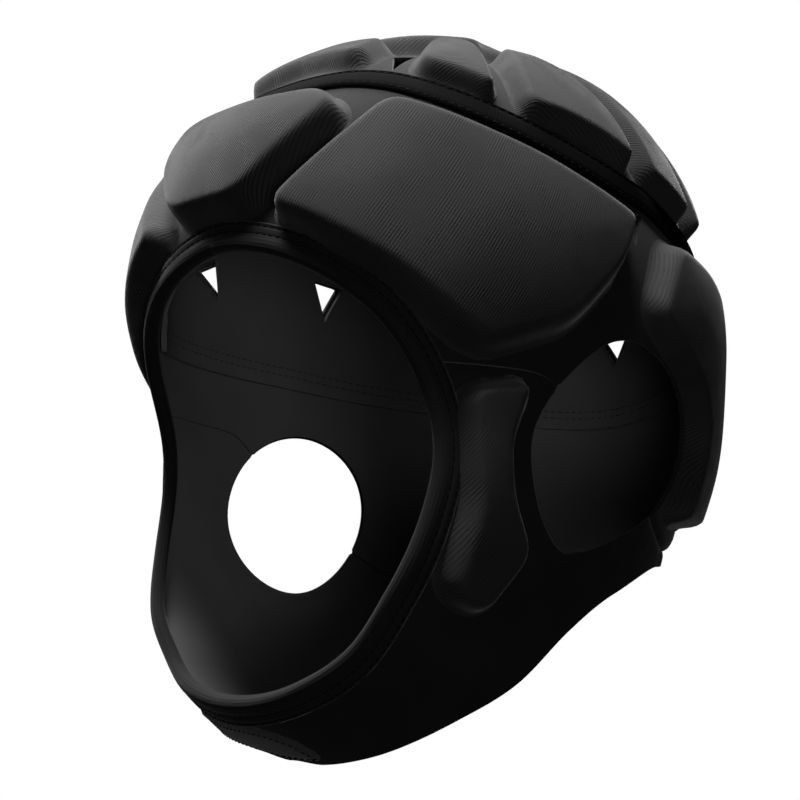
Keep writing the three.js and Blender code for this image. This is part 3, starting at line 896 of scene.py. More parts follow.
@dataclass(frozen=True)
class Finish:
    """A cloth between two shades, drawn in its flat places in millimetres."""

    name: str
    low: str
    high: str
    relief_mm: float
    roughness: float
    sheen: float

    def pattern(self, tree: Tree, flat: Socket) -> tuple[Socket, Socket]:
        """Draws the cloth: its tone between the two shades, and its height."""
        raise NotImplementedError

    def surface(self) -> dict[str, float]:
        """Settings of the surface shader."""
        raise NotImplementedError

    def material(self) -> bpy.types.Material:
        """Makes the material, or finds it where it was made before.

        Returns:
            The material.
        """
        known = bpy.data.materials.get(self.name)
        if known:
            return known
        made = bpy.data.materials.new(self.name)
        made.use_nodes = True
        tree = made.node_tree
        flat = add_node(tree, "ShaderNodeUVMap", {"uv_map": CLOTH_UV}).outputs["UV"]
        tone, height = self.pattern(tree, flat)
        shades = {"data_type": "RGBA", 6: linear(self.low), 7: linear(self.high)}
        depth = {"Strength": 1.0, "Distance": self.relief_mm * METRES}
        colour = add_node(tree, "ShaderNodeMix", shades, {0: tone}).outputs[2]
        bump = add_node(tree, "ShaderNodeBump", depth, {"Height": height}).outputs["Normal"]
        shader = set_shader(tree, self.surface())
        tree.links.new(colour, shader.inputs["Base Color"])
        tree.links.new(bump, shader.inputs["Normal"])
        return made


@dataclass(frozen=True)
class KnitFinish(Finish):
    """A knitted or woven cloth: ribs at a slant, yarns that cross them, and an uneven dye."""

    rib_mm: float
    slant: float
    gloss: float = 0.25
    yarn_mm: float = 0.95
    yarn_share: float = 0.12
    patch_mm: float = 7.0
    blotch_mm: float = 26.0
    rib_shade: float = 0.8

    def pattern(self, tree: Tree, flat: Socket) -> tuple[Socket, Socket]:
        """Draws ribs that fade in patches, over a blotched ground.

        Args:
            tree: The material's nodes.
            flat: The cloth's flat places.

        Returns:
            The tone and the height.
        """
        slant = {"Rotation": (0, 0, math.radians(self.slant))}
        turned = add_node(tree, "ShaderNodeMapping", slant, {"Vector": flat}).outputs["Vector"]
        ribs, yarns = (
            add_node(tree, "ShaderNodeTexWave", {
                "bands_direction": way, "Scale": WAVE_PERIOD / period, "Distortion": waver, "Detail": 1.0,
                "Detail Scale": detail,
            }, {"Vector": turned}).outputs["Fac"]
            for way, period, waver, detail in (("X", self.rib_mm, 0.5, 0.6), ("Y", self.yarn_mm, 1.2, 0.8))
        )
        patches, blotch = (
            add_node(
                tree, "ShaderNodeTexNoise", {"Scale": 1 / size, "Detail": detail}, {"Vector": flat}
            ).outputs["Fac"]
            for size, detail in ((self.patch_mm, 2.0), (self.blotch_mm, 3.0))
        )
        crossed = {"data_type": "FLOAT", "Factor": self.yarn_share}
        knit = add_node(tree, "ShaderNodeMix", crossed, {"A": ribs, "B": yarns}).outputs["Result"]
        faded = {"From Min": 0.35, "From Max": 0.65, "To Min": 0.15}
        raised = add_node(tree, "ShaderNodeMapRange", faded, {"Value": patches}).outputs["Result"]
        level = {"data_type": "FLOAT", "A": 0.5}
        knit = add_node(tree, "ShaderNodeMix", level, {"Factor": raised, "B": knit}).outputs["Result"]
        sum_up = {"operation": "MULTIPLY_ADD", 1: self.rib_shade}
        shade = add_node(tree, "ShaderNodeMath", sum_up, {0: knit, 2: blotch}).outputs["Value"]
        limits = {"From Min": 0.35, "From Max": 1.3}
        return add_node(tree, "ShaderNodeMapRange", limits, {"Value": shade}).outputs["Result"], knit

    def surface(self) -> dict[str, float]:
        """A matt surface with a little gloss and sheen."""
        return {
            "Roughness": self.roughness, "IOR": 1.5, "Specular IOR Level": self.gloss,
            "Sheen Weight": self.sheen, "Sheen Roughness": 0.45,
        }


@dataclass(frozen=True)
class PileFinish(Finish):
    """The looped pile of a grip tape: a fuzzy tangle of fine loops."""

    loop_mm: float

    def pattern(self, tree: Tree, flat: Socket) -> tuple[Socket, Socket]:
        """Draws the loops.

        Args:
            tree: The material's nodes.
            flat: The cloth's flat places.

        Returns:
            The loops twice, as tone and as height.
        """
        tangle = {"Scale": 1 / self.loop_mm, "Detail": 4.0, "Roughness": 0.7}
        loops = add_node(tree, "ShaderNodeTexNoise", tangle, {"Vector": flat}).outputs["Fac"]
        return loops, loops

    def surface(self) -> dict[str, float]:
        """A dull surface with a sheen."""
        return {"Roughness": self.roughness, "Sheen Weight": self.sheen, "Sheen Roughness": 0.5}


# Brushed polyester and elastane warp knit: near black and matt, with fine slanted ribs that catch the light.
# The ribs are at their real spacing, as near as the photo tells it.
COVER_KNIT = KnitFinish(
    "black_stretch_knit", "#131314", "#363637",
    relief_mm=0.09, roughness=0.78, sheen=0.24, rib_mm=0.72, slant=-30.0,
)
# The same knit laid flat on thin foam, with its ribs drawn closed; its darker colour is painted shade of the
# low cloth round the pads.
SHADE_DARKENED_PANEL_KNIT = KnitFinish(
    "flat_black_knit", "#121213", "#252526",
    relief_mm=0.06, roughness=0.82, sheen=0.18, rib_mm=0.72, slant=-30.0, gloss=0.18,
)
# Woven polyester tape, flat and dense, with a fine cross rib; its colour, darker than the knit, is painted
# shade of the crown pads beside it.
SHADE_DARKENED_TAPE_WEAVE = KnitFinish(
    "woven_polyester_tape", "#08080a", "#0f0f10",
    relief_mm=0.05, roughness=0.85, sheen=0.0, rib_mm=1.1, slant=0.0, gloss=0.04,
)
# Folded elastic binding, a flat rib knit that takes little light.
BINDING_KNIT = KnitFinish(
    "folded_elastic_binding", "#151516", "#222223",
    relief_mm=0.09, roughness=0.8, sheen=0.14, rib_mm=1.2, slant=90.0, gloss=0.16,
)
# Polyester tricot of the inside, brushed: mid grey, soft and almost without gloss.
LINING_TRICOT = KnitFinish(
    "brushed_lining_tricot", "#6c6c6c", "#767676",
    relief_mm=0.04, roughness=0.95, sheen=0.0, rib_mm=0.9, slant=90.0, gloss=0.05,
)
# Nylon loop pile of the chin's grip tape: dull grey fuzz.
LOOP_PILE = PileFinish(
    "nylon_loop_pile", "#2c2c2d", "#4a4a4b",
    relief_mm=0.25, roughness=0.9, sheen=0.35, loop_mm=0.6,
)
# Spun polyester thread: black and dull.
THREAD = KnitFinish(
    "spun_polyester_thread", "#0b0b0c", "#131314",
    relief_mm=0.03, roughness=0.8, sheen=0.0, rib_mm=0.5, slant=45.0, gloss=0.1,
)
# The same thread dyed to the lining, so that the hem hardly shows.
LINING_THREAD = KnitFinish(
    "grey_polyester_thread", "#565656", "#626262",
    relief_mm=0.03, roughness=0.9, sheen=0.0, rib_mm=0.5, slant=45.0, gloss=0.05,
)


def dress(piece: Piece, slot: str, *finishes: Finish) -> None:
    """Rides a piece on the body and gives it its finishes.

    Args:
        piece: The piece.
        slot: The record slot that it belongs to; not used.
        finishes: A finish for each of its material slots.
    """
    for finish in finishes:
        piece.data.materials.append(finish.material())
    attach(piece, BODY)
    LOG.info("%s: %d faces", piece.name, len(piece.data.polygons))


# Foam pads

class Corner(NamedTuple):
    """A corner of a pad's crest, and how far the wall of the edge that leaves it spreads."""

    azimuth: float
    level: float
    run: float


CREST_RINGS = (-1.5, -1, -0.6, -0.25)  # rows of points about the crest, as shares of its rounding
WALL_RINGS = (0.15, 0.4, 0.65, 0.9)  # rows down the wall, as shares of its run
FOOT_RINGS = (0.25, 0.6)  # rows at the foot, as shares of its rounding
CORNER_STEPS = 9
FAR = 1e3  # stands for any distance that no pad reaches
PAD_MARGIN = 4.0  # how far past a pad's foot points are still measured
BROAD_WAVE = 0.16  # heights of the waves on a pad's top
FINE_WAVE = 0.08


@dataclass(frozen=True)
class Pad:
    """A foam pad under the knit: a level, slightly crowned top with a rounded crest and sloped walls."""

    node: str
    plan: Plan
    corners: tuple[Corner, ...]
    height: float
    corner_length: float = 5.5
    corner_share: float = 0.4
    crest_round: float = 2.1
    foot_round: float = 1.5
    crowning: float = 0.9
    crowning_length: float = 12.0

    def turned(self) -> "Pad":
        """The same pad on the wearer's right."""
        corners = tuple(corner._replace(azimuth=-corner.azimuth) for corner in self.corners)
        return replace(self, node=self.node.replace("_left", "_right"), corners=corners)

    def laid(self) -> "Pad":
        """A pad from behind the band's cut, a whole turn back, where the flat band has it."""
        corners = tuple(corner._replace(azimuth=corner.azimuth - WHOLE_TURN) for corner in self.corners)
        return replace(self, corners=corners)

    def crest(self) -> Array:
        """The crest's outline.

        Returns:
            Rows of x, y and the wall's run, evenly spaced.
        """
        rows = np.array(self.corners, float)
        points = np.column_stack([self.plan.lay(rows[:, :2]), rows[:, 2]])
        stretches = []
        t = np.linspace(0, 1, CORNER_STEPS)[:, None]
        for i, point in enumerate(points):
            before, after = points[i - 1], points[(i + 1) % len(points)]
            near, far = (np.linalg.norm(point[:2] - other[:2]) for other in (before, after))
            enter = point + (before - point) * min(self.corner_length / near, self.corner_share)
            leave = point + (after - point) * min(self.corner_length / far, self.corner_share)
            turn = (1 - t) ** 2 * enter + 2 * t * (1 - t) * point + t**2 * leave
            turn[:, 2:] = before[2] + (point[2] - before[2]) * t
            stretches.append(turn)
        return respaced(np.vstack(stretches), LINE_STEP, True)

    def spread(self, distances: Array) -> Array:
        """Moves the crest's outline outwards.

        Args:
            distances: How far each of its points moves.

        Returns:
            Rows of x and y.
        """
        outline = self.crest()[:, :2]
        along = unit(run_along(outline, True))
        ahead = np.roll(outline, -1, 0)
        area = (outline[:, 0] * ahead[:, 1] - outline[:, 1] * ahead[:, 0]).sum()
        out = np.column_stack([along[:, 1], -along[:, 0]]) * np.sign(area)
        return outline + out * distances[:, None]

    def foot(self) -> Array:
        """The outline where the wall has run out into the panel."""
        return self.spread(self.crest()[:, 2] + self.foot_round)

    def rings(self) -> Array:
        """Points that follow the crest and the walls, where the shape bends most.

        Returns:
            Rows of x and y.
        """
        run = self.crest()[:, 2]
        crest = [self.spread(np.full(len(run), self.crest_round * share)) for share in CREST_RINGS]
        walls = [self.spread(run * share) for share in WALL_RINGS]
        feet = [self.spread(run + self.foot_round * share) for share in FOOT_RINGS]
        return np.vstack(crest + walls + feet)

    def measure(self, flat: Array) -> tuple[Array, Array]:
        """Measures flat points against the crest.

        Args:
            flat: Points in the pad's plan.

        Returns:
            The distance outside the crest, negative inside, and the run of the wall there.
        """
        crest = self.crest()
        distance = np.full(len(flat), FAR)
        run = np.full(len(flat), 1.0)
        margin = crest[:, 2].max() + self.foot_round + PAD_MARGIN
        low, high = crest[:, :2].min(0) - margin, crest[:, :2].max(0) + margin
        close = ((flat > low) & (flat < high)).all(1)
        near = nearness(flat[close], crest[:, :2], True)
        inside = within(flat[close], crest[:, :2])
        distance[close] = np.where(inside, -near.distance, near.distance)
        runs = crest[:, 2]
        run[close] = runs[near.segment] * (1 - near.share) + np.roll(runs, -1)[near.segment] * near.share
        return distance, run

    def holds(self, flat: Array) -> Array:
        """Tells which flat points lie inside the pad's foot."""
        return within(flat, self.foot())

    def rise(self, flat: Array) -> Array:
        """Height of the pad over its panel.

        Args:
            flat: Points in the pad's plan.

        Returns:
            The height in millimetres, nothing outside the foot.
        """
        distance, run = self.measure(flat)
        slope = 1 - distance / run
        crest, foot = self.crest_round / run, self.foot_round / run
        rounded = np.minimum(slope, 1) - np.maximum(crest - np.abs(1 - slope), 0) ** 2 / (4 * crest)
        share = np.maximum(rounded, 0) + np.maximum(foot - np.abs(rounded), 0) ** 2 / (4 * foot)
        depth = np.maximum(0, -distance - self.crest_round)
        swell = self.crowning * (1 - np.exp(-depth / self.crowning_length))
        return share * (self.height + swell + unevenness(flat))


def unevenness(flat: Array) -> Array:
    """The small waves of a hand-filled pad.

    Args:
        flat: Points in the pad's plan.

    Returns:
        Heights in millimetres.
    """
    x, y = flat.T
    broad = BROAD_WAVE * np.sin(x / 9.0 + 1.3) * np.sin(y / 11.0 + 0.4)
    return broad + FINE_WAVE * np.sin(x / 5.1 + y / 6.3)


PAD_HEIGHT = 9.5
REAR_PAD_HEIGHT = 8.0
CHEEK_PAD_HEIGHT = 8.0
CROWN_PAD_HEIGHT = 6.5
CROWN_TOP_HEIGHT = 8.5

FOREHEAD_PAD = Pad("forehead_pad", Plan.BAND, (
    Corner(-9.5, 70.3, 3.2), Corner(9.5, 70.3, 3.8), Corner(25.4, 55.2, 3.0), Corner(22, 50.8, 2.6),
    Corner(-22, 50.8, 3.0), Corner(-25.4, 55.2, 3.8),
), PAD_HEIGHT)
TEMPLE_PAD = Pad("temple_pad_left", Plan.BAND, (
    Corner(35.8, 53.4, 2.2), Corner(91.8, 71.2, 2.6), Corner(86, 79.5, 4.0), Corner(70, 92.5, 4.0),
    Corner(52.5, 99, 5.0), Corner(38.4, 85.8, 4.6), Corner(25, 77, 3.6), Corner(16, 72.8, 2.2),
), PAD_HEIGHT)
REAR_PAD = Pad("rear_pad_left", Plan.BAND, (
    Corner(107, 74, 2.4), Corner(146, 80.5, 2.2), Corner(146, 126, 2.4), Corner(113, 128.5, 1.5),
    Corner(119, 119, 1.3), Corner(120, 109, 1.3), Corner(114.5, 100, 1.4), Corner(105, 93.5, 1.8),
    Corner(97.5, 88, 2.6), Corner(102, 80, 3.6),
), REAR_PAD_HEIGHT)
BACK_PAD = Pad("back_pad_left", Plan.BAND, (
    Corner(154, 80.8, 2.2), Corner(170, 81, 2.2), Corner(176, 89, 2.2), Corner(176, 125.5, 2.2),
    Corner(154, 126, 2.2),
), REAR_PAD_HEIGHT)
CHEEK_PAD = Pad("cheek_pad_left", Plan.BAND, (
    Corner(50, 108.6, 1.6), Corner(62.3, 105.8, 1.5), Corner(57.6, 118.6, 1.5), Corner(57.8, 128.7, 1.5),
    Corner(62, 139.2, 2.6), Corner(52.3, 150.6, 3.0), Corner(46, 147.6, 2.6), Corner(50.5, 130.6, 2.4),
), CHEEK_PAD_HEIGHT)
CROWN_FRONT_PAD = Pad("crown_pad_front", Plan.CROWN, (
    Corner(-24, 37.8, 1.8), Corner(24, 37.8, 2.6), Corner(26, 25, 2.6), Corner(-26, 25, 2.6),
), CROWN_PAD_HEIGHT)
CROWN_TOP_PAD = Pad("crown_pad_top", Plan.CROWN, (
    Corner(0, 18, 2.6), Corner(72, 19, 2.6), Corner(144, 19.5, 2.6), Corner(216, 19.5, 2.6),
    Corner(288, 19, 2.6),
), CROWN_TOP_HEIGHT)
CROWN_SIDE_PADS = (
    Pad("crown_pad_fore_left", Plan.CROWN, (
        Corner(41, 42, 1.8), Corner(59.5, 48.6, 2.4), Corner(62, 25, 2.4), Corner(47, 24, 2.4),
    ), CROWN_PAD_HEIGHT),
    Pad("crown_pad_side_left", Plan.CROWN, (
        Corner(68, 51.5, 1.8), Corner(99.5, 59.4, 2.4), Corner(99, 26, 2.4), Corner(76, 27, 2.4),
    ), CROWN_PAD_HEIGHT),
    Pad("crown_pad_hind_left", Plan.CROWN, (
        Corner(104.5, 61.1, 1.8), Corner(121, 66.3, 2.0), Corner(126, 27, 2.0), Corner(113.5, 25.5, 2.0),
    ), CROWN_PAD_HEIGHT),
    Pad("crown_pad_back_left", Plan.CROWN, (
        Corner(127, 67.9, 1.8), Corner(174, 70.1, 2.2), Corner(166, 26, 2.2), Corner(140, 27, 2.2),
    ), CROWN_PAD_HEIGHT),
)


# Cloth panels

@dataclass
class ClothPanel:
    """A knit panel over thin foam, with the pads that its cloth runs over."""

    node: str
    plan: Plan
    flat_size: tuple[float, float]
    flat_area: float
    pads: tuple[Pad, ...] = ()
    grid: float = 2.0
    bed: float = -0.7  # how far the panel is pressed in below a pad
    seat: float = -0.35  # underside of a pad
    roll: float = 0.8
    thinning: float = 1.4
    thinning_length: float = 7.0
    pad_fill: float = 0.85

    def loops(self) -> list[Loop]:
        """Lines of the panel's cut, in its plan."""
        raise NotImplementedError

    def covers(self, flat: Array) -> Array:
        """Tells which flat points belong to the panel."""
        raise NotImplementedError

    def rolled(self, places: Array) -> Array:
        """How far each place's edge swells, none where the edge is sewn to a neighbour."""
        return np.full(len(places), self.roll)

    def relief(self, places: Array) -> Array:
        """Lift of the panel's own outside, for grooves and ridges."""
        return np.zeros(len(places))

    def underside(self, places: Array) -> Array:
        """The panel's inside, which thins out towards the face and the ear holes.

        Args:
            places: Places on the panel.

        Returns:
            The lift at each.
        """
        flat = Plan.BAND.lay(places)
        rims = [Plan.BAND.lay(rim) for rim in (FACE_RIM, *EAR_HOLES)]
        away = np.min([nearness(flat, rim, True).distance for rim in rims], 0)
        return PANEL_UNDER + self.thinning * np.exp(-((away / self.thinning_length) ** 2))

    def cut(self) -> Cut:
        """Cuts the panel out.

        Returns:
            The flat cut, with the pads' outlines in it.
        """
        loops = self.loops() + [Loop(pad.foot(), True) for pad in self.pads]
        every = np.vstack([loop.flat for loop in loops])
        fill = [pad.rings() for pad in self.pads]
        fill.append(honeycomb(every.min(0), every.max(0), self.grid))
        return cut_out(loops, np.vstack(fill), self.covers)

    def build(self) -> None:
        """Makes the panel and its pads."""
        cut = self.cut()
        places = self.plan.places(cut.flat)
        middles = cut.flat[cut.faces].mean(1)
        owner = np.full(len(cut.faces), -1)
        most = np.zeros(len(cut.faces))
        lift = self.relief(places)
        for number, pad in enumerate(self.pads):
            height = np.where(pad.holds(middles), pad.rise(middles) + 1e-6, 0)
            owner = np.where(height > most, number, owner)
            most = np.maximum(most, height)
            lift = np.maximum(lift, pad.rise(cut.flat))
        open_cloth = np.zeros(len(cut.flat), bool)
        open_cloth[cut.faces[owner < 0].ravel()] = True
        open_cloth[boundary_of(cut.faces).ravel()] = True
        outer = np.where(open_cloth, self.relief(places), self.bed)
        inner, roll = self.underside(places), self.rolled(places)
        piece = shell(f"{self.node}_cloth", self.plan, cut, outer, inner, roll)
        feet = boundary_of(cut.faces[owner < 0])
        keep_sharp(piece, HEAD.lifted(places, self.relief(places))[feet])
        # The panels take the darker knit, whose darkness is painted shade of the low cloth between the pads.
        dress(piece, "panel_cloth", SHADE_DARKENED_PANEL_KNIT, LINING_TRICOT)
        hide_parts(self.node)
        for number, pad in enumerate(self.pads):
            self.build_pad(pad, cut, owner == number, lift)

    def build_pad(self, pad: Pad, cut: Cut, mine: Array, lift: Array) -> None:
        """Makes one pad from its share of the cut.

        Args:
            pad: The pad.
            cut: The panel's cut.
            mine: True for each of the cut's faces that is the pad's.
            lift: Lift of the cloth at each of the cut's points.
        """
        used, renumbered = np.unique(cut.faces[mine], return_inverse=True)
        part = Cut(cut.flat[used], renumbered.reshape(-1, 3))
        piece = shell(f"{pad.node}_cover", self.plan, part, lift[used], self.seat)
        dress(piece, "pad_cover", COVER_KNIT, COVER_KNIT)
        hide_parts(pad.node)


@dataclass
class CrownPanel(ClothPanel):
    """The cap above the crown seam."""

    vents: tuple[tuple[Place, ...], ...] = CROWN_VENTS
    vent_roll: float = 0.4
    seam_margin: float = 2.0  # levels above the seam that count as sewn

    def loops(self) -> list[Loop]:
        """The seam and the two vents."""
        rim = self.plan.lay(round_line(beside_seam(-SEAM_GAP / 2)))
        return [Loop(rim, True)] + [Loop(vent_outline(self.plan, vent), True) for vent in self.vents]

    def covers(self, flat: Array) -> Array:
        """Inside the seam and outside the vents."""
        rim, *vents = self.loops()
        return within(flat, rim.flat) & clear_of(flat, [vent.flat for vent in vents])

    def rolled(self, places: Array) -> Array:
        """The vents' edges are rolled a little."""
        free = places[:, 1] < line_level(CROWN_SEAM, places[:, 0]) - self.seam_margin
        return np.where(free, self.vent_roll, 0)


@dataclass
class SewnPanel(ClothPanel):
    """A panel with openings, grooved along the seam between the band and the cheeks."""

    groove: float = 0.7
    groove_width: float = 1.3

    def clear(self, flat: Array) -> Array:
        """Tells which flat points lie outside every opening."""
        return clear_of(flat, [loop.flat for loop in self.loops() if loop.closed])

    def relief(self, places: Array) -> Array:
        """The dip of the cloth along the seam."""
        away = (places[:, 1] - line_level(BAND_EDGE, places[:, 0])) * HEAD.drop_per_level
        return -self.groove * np.exp(-((away / self.groove_width) ** 2))


@dataclass
class BandPanel(SewnPanel):
    """The band round the head, from the crown seam down to the cheeks and the nape."""

    vents: tuple[tuple[Place, ...], ...] = BAND_VENTS
    side_steps: int = 64
    seam_margin: float = 1.0  # levels below the crown seam that count as sewn
    cheek_margin: float = 0.5

    def loops(self) -> list[Loop]:
        """Lines of the cut: seams, the cut behind the rear pad, the face, ear holes and vents.

        Returns:
            The open lines, then the closed ones.
        """
        top = level_line(beside_seam(SEAM_GAP / 2), *BAND_ENDS)
        bottom = level_line(lambda a: line_level(BAND_EDGE, a), *BAND_ENDS)
        sides = [upright(end, top[0, 1], bottom[0, 1], self.side_steps) for end in BAND_ENDS]
        lines = [Loop(self.plan.lay(line), False) for line in (top, bottom, *sides)]
        holes = [Loop(self.plan.lay(hole), True) for hole in (FACE_RIM, *EAR_HOLES)]
        return lines + holes + [Loop(vent_outline(self.plan, vent), True) for vent in self.vents]

    def covers(self, flat: Array) -> Array:
        """Tells which flat points lie between the seams and outside every opening.

        Args:
            flat: Points in the band's plan.

        Returns:
            True for each point that the panel covers.
        """
        azimuth, level = self.plan.places(flat).T
        start, end = BAND_ENDS
        inside = (level > beside_seam(SEAM_GAP / 2)(azimuth)) & (level < line_level(BAND_EDGE, azimuth))
        return inside & (azimuth > start) & (azimuth < end) & self.clear(flat)

    def rolled(self, places: Array) -> Array:
        """Rolls the ear holes, vents and nape, and not the seams.

        Args:
            places: Places on the panel.

        Returns:
            How far each place's edge swells.
        """
        azimuth, level = places.T
        sewn = level < line_level(CROWN_SEAM, azimuth) + self.seam_margin
        at_cheek = from_face(azimuth) < CHEEK_REAR_AZIMUTH
        sewn |= at_cheek & (np.abs(level - line_level(BAND_EDGE, azimuth)) < self.cheek_margin)
        return np.where(sewn, 0, self.roll)


@dataclass
class CheekPanel(SewnPanel):
    """The cheek, from the band round the ear hole down to the neck edge and the chin."""

    side: int = 1
    first_azimuth: float = 0.2
    seam_margin: float = 0.6  # levels about the band's edge that count as sewn
    fewest_steps: int = 4

    def top(self, azimuth: Array) -> Array:
        """The level of the upper edge, a gap below the band's."""
        return line_level(BAND_EDGE, azimuth) + SEAM_GAP / HEAD.drop_per_level

    def loops(self) -> list[Loop]:
        """Lines of the cut: the seam, the neck edge, both ends, the face and the ear hole.

        Returns:
            The open lines, then the closed ones.
        """
        ends = (self.side * self.first_azimuth, self.side * CHEEK_REAR_AZIMUTH)
        top, bottom = level_line(self.top, *ends), level_line(neck_level, *ends)
        lines = [top, bottom]
        for k in (0, -1):
            high, low = top[k, 1], bottom[k, 1]
            lines.append(upright(ends[k], high, low, max(self.fewest_steps, round(abs(low - high)))))
        hole = EAR_HOLES[0] if self.side > 0 else EAR_HOLES[1]
        loops = [Loop(self.plan.lay(line), False) for line in lines]
        return loops + [Loop(self.plan.lay(rim), True) for rim in (FACE_RIM, hole)]

    def covers(self, flat: Array) -> Array:
        """Tells which flat points lie between the seam and the neck edge, outside the openings.

        Args:
            flat: Points in the band's plan.

        Returns:
            True for each point that the panel covers.
        """
        azimuth, level = self.plan.places(flat).T
        turned = azimuth * self.side
        inside = (level > self.top(azimuth)) & (level < neck_level(azimuth))
        return inside & (turned > self.first_azimuth) & (turned < CHEEK_REAR_AZIMUTH) & self.clear(flat)

    def rolled(self, places: Array) -> Array:
        """Rolls the ear hole and the neck edge, and not the seams.

        Args:
            places: Places on the panel.

        Returns:
            How far each place's edge swells.
        """
        azimuth, level = places.T
        sewn = np.abs(level - line_level(BAND_EDGE, azimuth)) < self.seam_margin
        sewn |= np.abs(azimuth) < 2 * self.first_azimuth
        return np.where(sewn, 0, self.roll)


def upright(azimuth: float, start: float, end: float, count: int) -> Array:
    """Places down a line of one azimuth."""
    return np.column_stack([np.full(count, azimuth), np.linspace(start, end, count)])


def vent_outline(plan: Plan, corners: Sequence[Place], step: float = 0.9) -> Array:
    """A vent's outline, laid flat."""
    return respaced(plan.lay(np.array(corners, float)), step, True)


# Lining

@dataclass
class Lining:
    """The brushed cap inside, with a turned and stitched hem."""

    grid: float = 4.0
    fill_gap: float = 1.2
    setback: float = 3.2
    hem_width: float = 9.0
    hem_thickness: float = 0.6
    flat_size: tuple[float, float] = (0.3, 0.335)
    flat_area: float = 0.0514
    stitch_insets: tuple[float, ...] = (6.5, 4.1)
    stitch_clearance: float = 4.2  # from the rim of the face to the ends of the rows
    shortest_row: int = 4  # a row of this many places or fewer isn't sewn

    def build(self) -> None:
        """Makes the lining and the stitches of its hem."""
        plan = Plan.CROWN
        hem = plan.lay(round_line(self.hem_level(0.0)))
        fold = plan.lay(round_line(self.hem_level(self.hem_width)))
        face = plan.lay(HEAD.across(FACE_RIM, -self.setback))
        holes = [face, *(vent_outline(plan, vent) for vent in CROWN_VENTS + BAND_VENTS)]

        def covers(flat: Array) -> Array:
            """Inside the hem and outside the face and the vents."""
            return within(flat, hem) & clear_of(flat, holes)

        loops = [Loop(line, True) for line in (hem, *holes, fold)]
        cut = cut_out(loops, honeycomb(hem.min(0), hem.max(0), self.grid), covers, self.fill_gap)
        places = plan.places(cut.flat)
        below = places[:, 1] - self.hem_level(self.hem_width)(places[:, 0])
        inner = LINING_INNER - self.hem_thickness * np.clip(below + 0.5, 0, 1)
        piece = shell("lining_cap", plan, cut, LINING_OUTER, inner)
        dress(piece, "lining_cloth", LINING_TRICOT, LINING_TRICOT)
        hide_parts("lining")
        self.build_stitches()

    def hem_level(self, inset: float) -> Levels:
        """The level of a line above the hem by a distance."""
        return lambda azimuth: line_level(LINING_HEM, azimuth) - inset / HEAD.drop_per_level

    def build_stitches(self) -> None:
        """Makes two rows of stitches along the hem, where the lining isn't cut away at the face."""
        rows = []
        for inset in self.stitch_insets:
            line = level_line(self.hem_level(inset), -HALF_TURN, HALF_TURN)
            near = nearness(Plan.BAND.lay(line), Plan.BAND.lay(FACE_RIM), True).distance
            kept = ~within(line, FACE_RIM) & (near > self.stitch_clearance)
            for stretch in np.split(np.arange(len(line)), np.flatnonzero(np.diff(kept)) + 1):
                if kept[stretch[0]] and len(stretch) > self.shortest_row:
                    rows.append(StitchRow(line[stretch], LINING_INNER - self.hem_thickness, False))
        sew("lining_hem_stitches", rows, "lining_cloth", LINING_THREAD)


def sew(name: str, rows: Sequence[StitchRow], slot: str, thread: KnitFinish = THREAD) -> None:
    """Makes one piece of several rows of stitches.

    Args:
        name: The piece's name.
        rows: The rows.
        slot: The record slot that it belongs to.
        thread: What it is sewn with.
    """
    points: list[Array] = []
    faces: list[tuple[int, ...]] = []
    start = 0
    for row in rows:
        made, shapes = row.solid()
        points.append(made)
        faces.extend(tuple(corner + start for corner in face) for face in shapes)
        start += len(made)
    piece = new_piece(name, np.vstack(points), faces)
    lay_uv(piece, np.zeros((len(piece.data.loops), 2)))
    dress(piece, slot, thread)


# Tape, binding and tab

@dataclass
class CrownTape:
    """The woven tape over the crown seam, sewn down by a row near each edge."""

    half: float = 5.0
    gap: float = 0.15
    wall: float = 0.95
    bead: float = 0.35
    row: float = 3.4
    path_step: float = 0.7
    flat_size: tuple[float, float] = (0.0105, 0.53)

    def build(self) -> None:
        """Makes the tape and its stitches."""
        path = round_line(beside_seam(0.0), self.path_step)
        top = self.gap + self.wall
        half = [
            (self.half, self.gap), (self.half + 0.1, self.gap + 0.4), (self.half - 0.4, top),
            (self.row + 0.6, top + self.bead), (self.row, top - 0.15), (self.row - 0.7, top + 0.2),
            (1.2, top + 0.25),
        ]
        section = [(-across, lift) for across, lift in half] + half[::-1] + [(0.0, self.gap)]
        piece = swept("crown_tape_woven", path, section)
        # The tape's dark colour is painted shade of the crown pads that stand beside it.
        dress(piece, "seam_tape", SHADE_DARKENED_TAPE_WEAVE)
        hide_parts("crown_tape")
        rows = [StitchRow(HEAD.across(path, side * self.row), top - 0.05) for side in (-1, 1)]
        sew("crown_tape_stitches", rows, "seam_tape")


